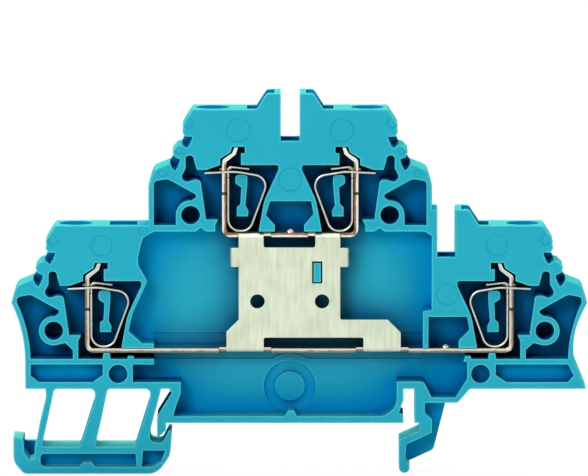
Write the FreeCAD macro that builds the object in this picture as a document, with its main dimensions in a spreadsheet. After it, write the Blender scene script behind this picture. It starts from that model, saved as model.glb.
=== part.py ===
import FreeCAD, Part
import Sketcher
import math
import os

# Double level terminal block for a 35 mm mounting rail, open on its front side.
# X runs along the block, Z points up, and the open side faces -Y.
# The origin lies in the middle of the face that rests on the rail.

doc = FreeCAD.newDocument("DoubleLevelTerminal")
sheet = doc.addObject("Spreadsheet::Sheet", "Sizes")


# Driving dimensions, in millimetres

SIZES = [
    # Moulding as a whole
    ("block_width", 5.1, "across the rail's length, front face to back face"),
    ("back_wall", 1.0, "wall that closes the back of every pocket"),
    ("wall", 0.74, "side walls and ribs of the moulding"),
    ("sole", 0.95, "wall along the bottom of the body and of the wings"),
    ("nook", 0.3, "small inside corner radius"),
    ("bend", 0.6, "larger inside corner radius"),
    # Where the two levels stand
    ("wing_under", 4.8, "underside of the wings above the rail"),
    ("floor_pocket", 2.5, "height of the long pockets in the wings"),
    ("bar_air", 0.84, "air between the wing's inner floor and the lower bar"),
    ("level_rise", 16.2, "lower bar to upper bar"),
    ("lower_span", 59.3, "post to post on the lower level"),
    ("lower_shift", 0.94, "middle of the lower level from the rail's middle"),
    ("upper_span", 18.84, "post to post on the upper level"),
    ("upper_shift", -0.32, "middle of the upper level from the rail's middle"),
    # Current bars
    ("strip", 0.6, "thickness of the bars"),
    ("bar_width", 3.6, "width of the bars, front to back"),
    ("bar_back_gap", 0.2, "bars to the back wall"),
    ("bend_inside", 0.6, "inside radius where a bar turns up into a post"),
    ("shoulder", 6.1, "height at which a post narrows"),
    ("post_width", 2.4, "width of the narrow upper end of a post"),
    ("post_rise", 10.75, "height at which a post leans over"),
    ("lip_lean", 1.35, "sideways reach of the leaning part"),
    ("lip_rise", 0.9, "height gained by the leaning part"),
    ("lip_tip", 0.82, "height of the upright tip above the leaning part"),
    ("tip_lean", 0.35, "sideways reach of the tip"),
    ("collar_outer", 0.82, "outside radius of the drawn collar"),
    ("collar_bore", 0.5, "hole radius in the drawn collar"),
    ("collar_height", 0.18, "collar above the bar"),
    ("notch_depth", 1.0, "front edge of a bar set back for the link"),
    ("notch_room", 1.05, "notch beyond the link leg on its open side"),
    ("link_play", 0.1, "gap between link and bar at the close side"),
    # Clamping springs
    ("spring_strip", 0.28, "thickness of the spring strip"),
    ("spring_width", 3.4, "width of the spring strip"),
    ("window_width", 2.8, "width of the window that the post passes through"),
    ("window_reach", 0.4, "window beyond the post on either side"),
    ("neck_width", 2.1, "width of the spring's narrow upper tab"),
    ("spring_gap", 0.12, "spring to post, and spring to bar"),
    ("spring_neck", 8.2, "height where the spring leg narrows"),
    ("spring_top", 9.72, "height of the fold of the narrow tab"),
    ("tab_reach", 3.8, "end of the narrow tab from the post"),
    ("tab_drop", 0.34, "fall of the narrow tab"),
    ("loop_foot", 3.8, "end of the loop's bottom from the post"),
    ("loop_side", 6.57, "outer corner of the loop from the post"),
    ("loop_top", 8.34, "height of the loop's outer corner"),
    ("arm_mid", 1.9, "where the arm straightens, from the post"),
    ("arm_height", 9.12, "height of the arm over the bar"),
    ("arm_reach", 2.4, "end of the arm beyond the post"),
    ("loop_bend", 1.6, "radius at the loop's bottom"),
    ("loop_crown", 1.6, "radius at the loop's outer corner"),
    ("arm_curve", 6.0, "radius of the arm's slight turn"),
    ("tab_bend", 0.45, "radius of the narrow tab's fold"),
    # Clamp towers, measured from each post and bar
    ("tower_height", 17.85, "top of a tower above its bar"),
    ("mouth_side", 4.0, "outer end of a tower's top"),
    ("tower_side", 8.12, "inner end of a tower's top"),
    ("peak_rise", 2.2, "finger rest above a tower's top"),
    ("peak_start", 4.8, "foot of the slope up to the finger rest"),
    ("peak_end", 6.2, "head of that slope"),
    ("brow_side", 5.42, "first nose below the mouth"),
    ("brow_drop", 2.3, "that nose below the top"),
    ("wing_reach", 10.15, "outermost nose"),
    ("nose_height", 7.06, "outermost nose above the bar"),
    ("shin_side", 8.3, "upright stretch of the outer wall"),
    ("shin_height", 3.08, "where the outer wall turns upright"),
    ("shin_curve", 19.3, "radius of that turn"),
    ("tooth_side", 6.85, "nose of the second tooth"),
    ("tooth_height", 12.0, "height of the second tooth's nose"),
    ("tooth_step", 1.45, "sideways pitch of the teeth"),
    ("tooth_drop", 2.78, "height pitch of the teeth"),
    ("gash", 0.75, "width of the gashes between the teeth"),
    # Wire side of a clamp
    ("funnel_length", 4.64, "wire funnel along the block"),
    ("funnel_breadth", 3.5, "wire funnel across the block"),
    ("funnel_depth", 3.0, "depth of the funnel"),
    ("wire_bore", 2.4, "bore below the funnel"),
    ("wire_side", 1.26, "middle of the bore from the post"),
    ("wire_roof", 9.46, "roof of the wire space"),
    ("wire_wall", 2.95, "outer wall of the wire space at its head"),
    ("wire_foot", 2.2, "outer wall of the wire space at its foot"),
    ("wire_sill", 8.1, "sill between the wire space and the relief slot"),
    ("wire_ledge", 2.5, "ledge below the wire space"),
    ("ledge_end", 0.55, "inner end of the ledge from the post"),
    ("bar_end_gap", 0.95, "channel beyond the post"),
    ("relief_out", 5.01, "outer side of the relief slot"),
    ("relief_in", 3.94, "inner side of the relief slot"),
    ("relief_top", 11.46, "top of the relief slot"),
    ("relief_pit", 7.7, "bottom of the relief slot"),
    # Spring side of a clamp
    ("roof", 10.12, "roof of the spring chamber"),
    ("chamber_head", 7.8, "inner wall of the chamber at its head"),
    ("chamber_waist", 5.85, "inner wall at its waist"),
    ("waist_height", 5.2, "height of the waist"),
    ("chamber_foot", 5.0, "inner wall at its foot"),
    ("waist_curve", 6.0, "radius of the inner wall at its waist"),
    ("chamber_drop", 0.5, "chamber floor above the bar's underside"),
    ("lip_air", 0.25, "air round the post's lip"),
    ("lip_slot", 3.18, "end of the slot over the lip"),
    ("lip_slot_top", 12.68, "top of the slot over the lip"),
    ("lip_slot_step", 0.94, "height of that slot"),
    ("lip_shaft", 2.64, "side of the shaft below that slot"),
    ("driver_side", 3.45, "near side of the screwdriver slot"),
    ("driver_length", 3.8, "screwdriver slot along the block"),
    ("driver_breadth", 3.3, "screwdriver slot across the block"),
    ("horn_left", 1.85, "side of the stop rib in the loop"),
    ("horn_right", 3.5, "other side of that rib's head"),
    ("horn_top", 8.6, "top of the stop rib"),
    ("horn_foot", 2.8, "bottom of the stop rib"),
    ("horn_waist", 0.72, "thickness of the rib's waist"),
    ("horn_head", 1.2, "height of the rib's head and of its foot"),
    ("horn_face", 1.0, "stop rib behind the front face"),
    # Outer side of a tower
    ("pin_side", 4.33, "middle of the pin bore from the post"),
    ("pin_height", 3.13, "middle of the pin bore above the bar"),
    ("pin_bore", 1.3, "radius of the pin bore"),
    ("cheek_height", 8.0, "top of the outer pocket"),
    ("cheek_peak", 7.5, "highest point of the outer pocket from the post"),
    ("cheek_tip", 3.2, "inner tip of the outer pocket"),
    ("cheek_tip_height", 5.8, "height of that tip"),
    ("upper_floor", 0.98, "underside of the upper floor wall above its bar"),
    ("cavity_roof", 0.85, "roof of the middle space above the upper bar"),
    ("roof_nick", 0.55, "nick in that roof beside each upper clamp"),
    # Jumper slots
    ("jumper_width", 2.46, "jumper slots along the block"),
    ("jumper_floor", 13.45, "floor of the jumper slots above the bar"),
    ("jumper_breadth", 3.3, "jumper channels across the block"),
    ("jumper_room", 5.1, "roof of the pockets under the jumper slots"),
    # Middle of the body
    ("foot_block_width", 3.7, "block over the right foot's spring slot"),
    ("foot_block_top", 5.83, "its top above the rail"),
    ("shelf_under", 2.85, "underside of the thin wall right of that block"),
    ("shelf_end", 22.9, "end of that wall"),
    ("step_side", 6.4, "lower space short of the right post"),
    ("channel_room", 0.12, "air over the lower bar in the channel"),
    ("dish_radius", 3.6, "shallow dish in the back wall"),
    ("dish_island", 2.13, "raised middle of the dish"),
    ("dish_depth", 0.25, "depth of the dish"),
    ("dish_height", 5.33, "middle of the dish above the rail"),
    ("recess_depth", 0.12, "recess in the back wall behind the lower bar"),
    # Rail grip
    ("rail_width", 35.0, "width of the mounting rail"),
    ("rail_flange", 1.0, "thickness of the rail's flange"),
    ("rail_play", 0.08, "play round the flange"),
    ("prong", 1.2, "thickness of the prong over the left flange"),
    ("prong_drop", 2.05, "tip of the prong below the rail's top"),
    ("latch_reach", 0.85, "latch under the left flange"),
    ("foot_drop", 7.16, "bottom of the feet below the rail's top"),
    ("foot_left", 38.7, "outer end of the left foot"),
    ("foot_lip", 2.05, "top of the left foot's outer lip, below the rail's top"),
    ("window_length", 5.7, "openings in the left foot"),
    ("window_pitch", 7.4, "pitch of these openings"),
    ("window_start", 33.0, "first opening from the rail's middle"),
    ("window_floor", 3.37, "floor of these openings, below the rail's top"),
    ("window_lean", 1.8, "how far the openings lean outwards"),
    ("slit", 0.95, "spring slit beside the prong"),
    ("spring_slot", 1.54, "slot beside the right foot's leg"),
    ("leg", 1.41, "thickness of the right foot's leg"),
    ("claw_reach", 2.8, "claw under the right flange"),
    ("claw_fall", 1.3, "fall of the claw's top"),
    ("claw_arm", 1.0, "thickness of the claw's arm"),
    ("toe", 1.46, "width of the right foot's toe"),
    ("foot_web", 1.3, "thickness of the right foot's web"),
    # Level link
    ("link_plate", 0.7, "thickness of the link plate"),
    ("link_front_gap", 0.2, "link plate behind the front face"),
    ("link_left", 7.44, "left side of the link from the rail's middle"),
    ("link_right", 6.6, "right side of the link"),
    ("link_leg", 3.45, "width of the link's upper legs"),
    ("link_neck", 2.05, "depth of the notch between the upper legs"),
    ("lug_length", 1.26, "reach of the side lugs"),
    ("lug_height", 2.65, "height of the side lugs"),
    ("link_foot", 5.15, "width of the link's lower legs"),
    ("link_spread", 1.7, "lower left leg beyond the upper body"),
    ("link_arm", 14.97, "right end of the link"),
    ("link_arm_top", 14.46, "top of the right arm above the rail"),
    ("link_arm_under", 11.97, "underside of the right arm above the rail"),
    ("rivet_hole", 1.0, "radius of the round holes in the link"),
    ("rivet_height", 17.04, "height of the round holes"),
    ("rivet_left", 4.85, "left hole from the rail's middle"),
    ("rivet_right", 4.09, "right hole from the rail's middle"),
    ("key_slot", 1.41, "width of the slot in the link"),
    ("key_slot_height", 3.1, "height of that slot"),
    ("key_right", 3.42, "middle of the slot from the rail's middle"),
    ("key_height", 21.1, "middle of the slot above the rail"),
    ("key_play", 0.22, "gap between the housing's key and the slot"),
]


class Length:
    """A size with the expression that it comes from."""

    def __init__(self, value, text):
        self.value = value
        self.text = text

    def __add__(self, other):
        other = length(other)
        return Length(self.value + other.value, f"({self.text} + {other.text})")

    def __radd__(self, other):
        return length(other) + self

    def __sub__(self, other):
        other = length(other)
        return Length(self.value - other.value, f"({self.text} - {other.text})")

    def __rsub__(self, other):
        return length(other) - self

    def __mul__(self, other):
        other = length(other)
        return Length(self.value * other.value, f"({self.text} * {other.text})")

    def __rmul__(self, other):
        return length(other) * self

    def __truediv__(self, other):
        other = length(other)
        return Length(self.value / other.value, f"({self.text} / {other.text})")

    def __neg__(self):
        return length(0) - self


def length(number):
    if isinstance(number, Length):
        return number
    return Length(float(number), str(float(number)))


class Named:
    """The sheet's sizes as attributes."""


size = Named()
for row, (alias, value, meaning) in enumerate(SIZES, start=1):
    sheet.set(f"A{row}", meaning)
    sheet.set(f"B{row}", str(value))
    sheet.setAlias(f"B{row}", alias)
    setattr(size, alias, Length(value, f"Sizes.{alias}"))
doc.recompute()


# Depths, counted from the middle of the block towards the open front

front = size.block_width / 2
back = -front
floor = back + size.back_wall
bar_back = floor + size.bar_back_gap
bar_middle = bar_back + size.bar_width / 2
beyond = front + 0.5


# Levels above the rail

wing_floor = size.wing_under + size.sole + size.floor_pocket + size.wall
lower_bar_z = wing_floor + size.bar_air
upper_bar_z = lower_bar_z + size.level_rise
channel_roof = lower_bar_z + size.strip + size.channel_room
rail_edge = size.rail_width / 2 + size.rail_play


class Clamp:
    """One clamping unit: out is the side away from the middle of its level."""

    def __init__(self, name, shift, span, bar_z, side):
        self.name = name
        self.side = side
        self.post = shift - side * span / 2
        self.bar_z = bar_z
        self.upper = bar_z is upper_bar_z

    def at(self, inward, up, radius=0):
        """A corner that lies inward from the post's outer face and above the bar's underside."""
        return (self.post + self.side * length(inward), self.bar_z + up, radius)

    def near(self, inward, up, radius=0):
        """The same corner counted from the clamp's own origin at the foot of its post."""
        return (self.side * length(inward), length(up), radius)


upper_left = Clamp("upper_left", size.upper_shift, size.upper_span, upper_bar_z, 1)
upper_right = Clamp("upper_right", size.upper_shift, size.upper_span, upper_bar_z, -1)
lower_left = Clamp("lower_left", size.lower_shift, size.lower_span, lower_bar_z, 1)
lower_right = Clamp("lower_right", size.lower_shift, size.lower_span, lower_bar_z, -1)
clamps = [lower_left, upper_left, upper_right, lower_right]
peaked = [upper_left, upper_right, lower_right]


# Sketches

def bind(owner, path, quantity):
    if "Sizes" in quantity.text:
        owner.setExpression(path, quantity.text)


def origin_plane(body, role):
    for feature in body.Origin.OriginFeatures:
        if feature.Role == role:
            return feature
    raise ValueError(role)


def new_sketch(body, name, role, offset):
    sketch = body.newObject("Sketcher::SketchObject", name)
    sketch.AttachmentSupport = (origin_plane(body, role), [""])
    sketch.MapMode = "FlatFace"
    sketch.AttachmentOffset = FreeCAD.Placement(
        FreeCAD.Vector(0, 0, offset.value), FreeCAD.Rotation()
    )
    bind(sketch, "AttachmentOffset.Base.z", offset)
    return sketch


def round_corner(before, here, after, radius):
    """Where the arc of a rounded corner begins and ends, its middle, and whether it turns left."""
    back_way = (before - here).normalize()
    ahead = (after - here).normalize()
    half = math.acos(max(-1.0, min(1.0, back_way.dot(ahead)))) / 2
    reach = radius / math.tan(half)
    middle = here + (back_way + ahead).normalize() * (radius / math.sin(half))
    left = back_way.cross(ahead).z < 0
    return here + back_way * reach, here + ahead * reach, middle, left


def draw(sketch, corners, closed=True):
    """Lines from corner to corner, each corner at its place and rounded where it has a radius."""
    corners = [(length(x), length(z), length(r)) for x, z, r in corners]
    points = [FreeCAD.Vector(x.value, z.value, 0) for x, z, r in corners]
    count = len(corners)
    starts = []
    ends = []
    arcs = {}
    for index, (x, z, radius) in enumerate(corners):
        inner = closed or 0 < index < count - 1
        if radius.value > 0 and inner:
            begin, end, middle, left = round_corner(
                points[index - 1], points[index], points[(index + 1) % count], radius.value
            )
            arcs[index] = (begin, end, middle, left)
        else:
            begin = end = points[index]
        starts.append(end)
        ends.append(begin)
    first = sketch.GeometryCount
    lines = count if closed else count - 1
    for index in range(lines):
        sketch.addGeometry(Part.LineSegment(starts[index], ends[(index + 1) % count]), False)
    arc_of = {}
    for index, (begin, end, middle, left) in arcs.items():
        low, high = (begin, end) if left else (end, begin)
        from_angle = math.atan2(low.y - middle.y, low.x - middle.x)
        to_angle = math.atan2(high.y - middle.y, high.x - middle.x)
        circle = Part.Circle(middle, FreeCAD.Vector(0, 0, 1), corners[index][2].value)
        arc_of[index] = sketch.addGeometry(Part.ArcOfCircle(circle, from_angle, to_angle), False)
    corner_of = {}
    for index in arcs:
        corner_of[index] = sketch.addGeometry(Part.Point(points[index]), True)
    rules = []
    bound = []
    radius_of = {}
    known = sketch.ConstraintCount

    def fix(kind, place, quantity):
        rules.append(Sketcher.Constraint(kind, *place, quantity.value))
        bound.append((known + len(rules) - 1, quantity))

    for index, (x, z, radius) in enumerate(corners):
        before = first + (index - 1) % count
        after = first + index
        if index in arcs:
            arc = arc_of[index]
            left = arcs[index][3]
            rules.append(Sketcher.Constraint("Tangent", before, 2, arc, 1 if left else 2))
            rules.append(Sketcher.Constraint("Tangent", arc, 2 if left else 1, after, 1))
            rules.append(Sketcher.Constraint("PointOnObject", corner_of[index], 1, before))
            rules.append(Sketcher.Constraint("PointOnObject", corner_of[index], 1, after))
            if radius.text in radius_of:
                rules.append(Sketcher.Constraint("Equal", radius_of[radius.text], arc))
            else:
                radius_of[radius.text] = arc
                fix("Radius", (arc,), radius)
            spot = (corner_of[index], 1)
        elif closed or 0 < index < count - 1:
            rules.append(Sketcher.Constraint("Coincident", before, 2, after, 1))
            spot = (after, 1)
        elif index == 0:
            spot = (after, 1)
        else:
            spot = (before, 2)
        fix("DistanceX", (-1, 1) + spot, x)
        fix("DistanceY", (-1, 1) + spot, z)
    sketch.addConstraint(rules)
    for place, quantity in bound:
        bind(sketch, f"Constraints[{place}]", quantity)


def draw_circle(sketch, x, z, radius):
    x, z, radius = length(x), length(z), length(radius)
    circle = Part.Circle(FreeCAD.Vector(x.value, z.value, 0), FreeCAD.Vector(0, 0, 1), radius.value)
    ring = sketch.addGeometry(circle, False)
    known = sketch.ConstraintCount
    sketch.addConstraint([
        Sketcher.Constraint("Radius", ring, radius.value),
        Sketcher.Constraint("DistanceX", -1, 1, ring, 3, x.value),
        Sketcher.Constraint("DistanceY", -1, 1, ring, 3, z.value),
    ])
    for place, quantity in enumerate((radius, x, z)):
        bind(sketch, f"Constraints[{known + place}]", quantity)


def rectangle(left, right, low, high):
    return [(left, low, 0), (right, low, 0), (right, high, 0), (left, high, 0)]


def pad(body, name, outlines, start, stop, role="XZ_Plane"):
    """Material from one depth forward to another, or from one height up to another."""
    return extrude(body, "PartDesign::Pad", name, outlines, start, stop - start, role)


def cut(body, name, outlines, start, stop, role="XZ_Plane"):
    """A pocket from one depth back to another, or from one height down to another."""
    return extrude(body, "PartDesign::Pocket", name, outlines, start, start - stop, role)


def extrude(body, kind, name, outlines, start, depth, role):
    name = f"{body.Name}_{name}"
    sketch = new_sketch(body, name + "_sketch", role, start)
    for outline in outlines:
        draw_shape(sketch, outline)
    feature = body.newObject(kind, name)
    feature.Profile = sketch
    feature.Length = depth.value
    bind(feature, "Length", depth)
    feature.Refine = not body.Name.startswith(MOULDING)
    return feature


# Bodies whose seams are cleaned only once, when the housing is whole
MOULDING = ("hollow", "housing")


def draw_shape(sketch, outline):
    if isinstance(outline, tuple):
        draw_circle(sketch, *outline)
    else:
        draw(sketch, outline)


def new_body(name):
    body = doc.addObject("PartDesign::Body", name)
    body.Label = name
    body.Placement = FreeCAD.Placement(FreeCAD.Vector(0, 0, 0), FreeCAD.Rotation())
    return body


# Outer forms of the housing

def tower_outline(clamp):
    """Toothed outer side, flat top and, beside a jumper slot, the raised finger rest."""
    s = size
    brow = s.tower_height - s.brow_drop
    root_gap = s.gash / 2
    outline = [clamp.at(-s.wing_reach, s.nose_height, s.nook)]
    outline.append(clamp.at(-s.wing_reach + s.wall, s.nose_height + 2.4, 1.2))
    outline.append(clamp.at(-s.tooth_side - 0.25, s.tooth_height - s.tooth_drop + 1.15))
    outline.append(clamp.at(-s.tooth_side + root_gap, s.tooth_height - s.gash))
    outline.append(clamp.at(-s.tooth_side, s.tooth_height, s.nook))
    outline.append(clamp.at(-s.tooth_side + s.wall, s.tooth_height + 0.8))
    outline.append(clamp.at(-s.tooth_side + s.tooth_step - 0.1, s.tooth_height + 0.95))
    outline.append(clamp.at(-s.brow_side + root_gap, s.tooth_height + 2.0))
    outline.append(clamp.at(-s.brow_side, s.tooth_height + 2.7))
    outline.append(clamp.at(-s.brow_side + 0.2, brow - 0.45))
    outline.append(clamp.at(-s.brow_side, brow, s.nook))
    outline.append(clamp.at(-s.mouth_side - 0.95, brow + 0.85))
    outline.append(clamp.at(-s.mouth_side, s.tower_height))
    if clamp in peaked:
        top = s.tower_height + s.peak_rise
        outline.append(clamp.at(s.peak_start, s.tower_height))
        outline.append(clamp.at(s.peak_end, top, s.bend))
        outline.append(clamp.at(s.tower_side, top))
        inner = clamp.at(s.tower_side, 0)[0]
    else:
        inner = upper_left.post - s.wing_reach + s.wall / 2
        outline.append((inner, clamp.bar_z + s.tower_height, 0))
    outline.append((inner, clamp.bar_z + s.nose_height, 0))
    return outline


def core_outline():
    """Wings and stepped body, with the prong on the left and the spring slot on the right."""
    s = size
    ledge = s.tower_height + s.peak_rise
    jumper = s.tower_side + s.jumper_width
    slot_left = rail_edge - s.latch_reach - s.spring_slot + 0.2
    outline = [
        (lower_left.post - s.shin_side, s.wing_under, 0),
        lower_left.at(-s.shin_side, s.shin_height, s.shin_curve),
        lower_left.at(-s.wing_reach, s.nose_height),
        (upper_left.post - s.wing_reach, lower_bar_z + s.nose_height, 0),
        upper_left.at(-s.wing_reach, s.nose_height),
        upper_left.at(s.tower_side - s.wall, s.nose_height),
        upper_left.at(s.tower_side - s.wall, s.jumper_floor),
        upper_right.at(s.tower_side - s.wall, s.jumper_floor),
        upper_right.at(s.tower_side - s.wall, s.nose_height),
        upper_right.at(-s.wing_reach, s.nose_height),
        (upper_right.post + s.wing_reach, lower_bar_z + ledge, 0),
        lower_right.at(jumper, ledge),
        lower_right.at(jumper, s.jumper_floor),
        lower_right.at(s.tower_side - s.wall, s.jumper_floor),
        lower_right.at(s.tower_side - s.wall, s.nose_height),
        lower_right.at(-s.wing_reach, s.nose_height),
        lower_right.at(-s.shin_side, s.shin_height, s.shin_curve / 2),
        lower_right.at(-s.shin_side, -0.7, 6.0),
        (lower_right.post + s.wing_reach - 0.1, s.wing_under, 0),
        lower_right.at(s.step_side - s.wall / 2, s.wing_under - lower_bar_z, s.bend),
        (s.shelf_end, s.shelf_under, s.bend),
        (slot_left + s.spring_slot, s.shelf_under, 0),
        (slot_left + s.spring_slot, s.wing_under, 0),
        (slot_left, s.wing_under, 0),
        (slot_left, 3.2, 0),
        (slot_left - 0.65, 1.4, 0),
        (slot_left - 0.05, 1.25, 0),
        (slot_left, 0, 0),
        (-rail_edge, 0, 0),
        (-rail_edge, -s.rail_flange - s.rail_play, 0),
        (-rail_edge - s.prong + 0.1, -s.prong_drop, 0),
        (-rail_edge - s.prong, -s.prong_drop + 0.1, 0),
        (-rail_edge - s.prong, 0.9, 1.5),
        (-rail_edge + s.latch_reach, 4.2, 0),
        (-rail_edge + s.slit / 2, s.wing_under, 0),
    ]
    return outline


def left_foot_outline():
    """Foot beam under three leaning webs, with the latch that snaps under the rail."""
    s = size
    latch_top = -s.rail_flange - s.rail_play
    latch_end = -rail_edge + s.latch_reach
    slit_side = -rail_edge - s.prong - s.slit
    return [
        (-s.window_start - s.wall - 0.55, s.wing_under + s.sole, 0),
        (-s.window_start - s.wall - 0.4, s.wing_under - 1.3, 2.0),
        (-s.window_start - s.wall - s.window_lean, -s.foot_lip - 0.25, 0),
        (-s.foot_left, -s.foot_lip, 0),
        (-s.foot_left, -s.foot_drop + 1.7, 2.2),
        (-s.foot_left + 1.4, -s.foot_drop, 1.2),
        (latch_end - 2.1, -s.foot_drop, 2.4),
        (latch_end - 0.2, -s.foot_drop + 2.6, 3.0),
        (latch_end, latch_top, 0),
        (latch_end - s.latch_reach / 2, latch_top, 0),
        (latch_end - s.latch_reach - 0.45, latch_top - 1.75, s.bend),
        (slit_side, latch_top - 1.6, s.bend),
        (slit_side, latch_top, 0.8),
        (slit_side + 1.45, s.wing_under - 0.4, 0),
        (slit_side + 1.45, s.wing_under + s.sole, 0),
    ]


def foot_window(number):
    """Leaning opening between two webs of the left foot."""
    s = size
    left = -s.window_start + number * s.window_pitch
    right = left + s.window_length + 0.25 * number
    low = -s.window_floor
    return [
        (left, s.wing_under, 0.5),
        (right, s.wing_under, 0.7),
        (right - 0.15, s.wing_under - 1.8, 0),
        (right - s.window_lean - 0.35, low, 0.4),
        (left - s.window_lean, low, s.nook),
        (left - s.window_lean / 2, 0.5, 8.0),
    ]


def right_leg_left():
    return rail_edge - size.latch_reach + 0.2


def claw():
    """Corners that the claw's rib and its web share, from the toe up to the flange."""
    s = size
    tip = rail_edge - s.claw_reach
    top = -s.rail_flange - s.rail_play
    return [
        (tip + s.toe, -s.foot_drop + 0.15, s.toe / 2 - 0.03),
        (tip, -s.foot_drop + 0.15, s.toe / 2 - 0.03),
        (tip, top - s.claw_fall, s.nook),
        (rail_edge, top, 0),
        (rail_edge, 0, 0),
        (right_leg_left(), 0, 0),
        (right_leg_left(), size.wing_under, 0),
    ]


def right_rib_outline():
    """Leg, claw and toe of the right foot, as wide as the block."""
    s = size
    tip = rail_edge - s.claw_reach
    leg_right = right_leg_left() + s.leg
    arm_low = -s.rail_flange - s.rail_play - s.claw_arm
    return [
        (leg_right, s.wing_under, 0),
        (leg_right, 1.35, 0.4),
        (leg_right + 0.98, 0.5, 0.4),
        (leg_right + 0.98, -1.35, 0),
        (tip + s.wall + 0.25, arm_low - s.claw_fall + 0.35, 0.4),
        (tip + s.wall + 0.1, -s.foot_drop + 2.0, 0.4),
        (tip + s.toe, -s.foot_drop + 1.2, 0),
    ] + claw()


def right_web_outline():
    """Thin web behind the claw, out to the foot's leaning outer edge."""
    s = size
    tip = rail_edge - s.claw_reach
    leg_right = right_leg_left() + s.leg
    return [
        (leg_right, s.wing_under, 0),
        (leg_right + 3.14, s.shelf_under + 0.3, 0),
        (leg_right + 1.25, -s.foot_drop + 2.75, 0.9),
        (tip + s.toe, -s.foot_drop + 1.2, 0),
    ] + claw()


# Hollows of the housing

def wire_space_outline(clamp):
    """Space where the wire meets the post, with the relief slot that lets the wall give."""
    s = size
    return [
        clamp.near(-s.relief_in, s.relief_top, s.bend - 0.1),
        clamp.near(-s.relief_in + 0.15, s.relief_top - 0.9, 0),
        clamp.near(-s.wire_wall - 0.5, s.wire_roof, 0),
        clamp.near(-s.wire_foot + 0.1, s.wire_roof, 0),
        clamp.near(-s.lip_air, s.roof, 0),
        clamp.near(s.strip, s.roof, 0),
        clamp.near(s.strip, s.chamber_drop, 0),
        clamp.near(-s.bar_end_gap, s.chamber_drop, 0),
        clamp.near(-s.bar_end_gap, s.wire_ledge - 0.8, 0),
        clamp.near(-s.ledge_end, s.wire_ledge, 0),
        clamp.near(-s.wire_foot, s.wire_ledge, 0),
        clamp.near(-s.wire_wall, s.wire_sill - 0.15, 0.5),
        clamp.near(-s.relief_in + 0.2, s.wire_sill, 0.8),
        clamp.near(-s.relief_out + 0.04, s.relief_pit, s.bend),
        clamp.near(-s.relief_out - 0.65, s.relief_pit + 0.7, s.bend),
        clamp.near(-s.relief_out, s.relief_pit + 1.95, 0),
        clamp.near(-s.relief_out, s.relief_top, s.bend - 0.1),
    ]


def spring_chamber_outline(clamp):
    s = size
    return [
        clamp.near(-s.lip_air, s.roof, 0),
        clamp.near(s.chamber_head, s.roof, s.nook),
        clamp.near(s.chamber_head, s.roof - 0.75, 0),
        clamp.near(s.chamber_waist, s.waist_height, s.waist_curve),
        clamp.near(s.chamber_foot, s.chamber_drop, 0),
        clamp.near(-s.lip_air, s.chamber_drop, 0),
    ]


def lip_slot_outline(clamp):
    """Shaft and slot that clear the leaning lip at the head of the post."""
    s = size
    step = s.lip_slot_top - s.lip_slot_step
    return [
        clamp.near(-s.lip_air, s.roof - 0.4, 0),
        clamp.near(-s.lip_air, s.post_rise + s.lip_air, 0),
        clamp.near(s.lip_lean - s.lip_air + 0.1, s.post_rise + s.lip_rise + s.lip_air, 0),
        clamp.near(s.lip_lean + 0.06, s.lip_slot_top, 0),
        clamp.near(s.lip_slot, s.lip_slot_top, 0),
        clamp.near(s.lip_slot, step, 0),
        clamp.near(s.lip_shaft, step, 0),
        clamp.near(s.lip_shaft, s.roof - 0.4, 0),
    ]


def cheek_outline(clamp):
    """Pocket between the toothed side and the wire space, down to the pin ring."""
    s = size
    ring = s.pin_bore + s.wall
    head = [
        clamp.near(-s.wing_reach + s.wall, s.cheek_height - 0.15, s.bend),
        clamp.near(-s.cheek_peak, s.cheek_height + 0.2, 1.0),
        clamp.near(-s.cheek_tip, s.cheek_tip_height, 0.4),
        clamp.near(-s.pin_side, s.pin_height + ring - 0.1, 0),
    ]
    if clamp.upper:
        return head + [
            clamp.near(-s.pin_side, s.pin_height, 0),
            clamp.near(-s.pin_side - ring, s.pin_height, 0),
            clamp.near(-s.pin_side - ring, s.upper_floor + s.wall, 0),
            clamp.near(-s.wing_reach + s.wall, s.upper_floor + s.wall, 0),
        ]
    return head + [
        clamp.near(-s.pin_side + 0.3, s.pin_height - s.pin_bore, 0),
        clamp.near(-s.pin_side + 0.6, s.pin_height - ring + 0.1, 0),
        clamp.near(-s.bar_end_gap - s.wall - 1.05, s.pin_height - ring + 0.35, 0),
        clamp.near(-s.bar_end_gap - s.wall, 0.45, 0),
        clamp.near(-s.bar_end_gap - s.wall, -s.bar_air, 0),
        clamp.near(-s.shin_side + s.wall, -s.bar_air, 0),
        clamp.near(-s.shin_side + s.wall, s.shin_height, s.shin_curve),
        clamp.near(-s.wing_reach + s.wall, s.nose_height, 0),
    ]


def horn_outline(clamp):
    """Bone-shaped rib that stands inside the spring's loop and stops it from collapsing."""
    s = size
    waist_right = s.horn_right - 0.25
    return [
        clamp.near(s.horn_left, s.horn_top, 0.5),
        clamp.near(s.horn_right, s.horn_top, 0.4),
        clamp.near(s.horn_right, s.horn_top - s.horn_head, 0),
        clamp.near(waist_right, s.horn_foot + s.horn_head + 0.3, 0),
        clamp.near(s.horn_right + 0.15, s.horn_foot + s.horn_head - 0.4, 0),
        clamp.near(s.horn_right + 0.1, s.horn_foot, 0),
        clamp.near(s.horn_left + 0.2, s.horn_foot, 0),
        clamp.near(s.horn_left + 0.2, s.horn_foot + s.horn_head + 0.1, 0),
        clamp.near(waist_right - s.horn_waist, s.horn_foot + s.horn_head + 0.5, 0),
        clamp.near(waist_right - s.horn_waist + 0.15, s.horn_top - s.horn_head - 0.55, 0),
        clamp.near(s.horn_left, s.horn_top - s.horn_head, s.nook),
    ]


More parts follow.
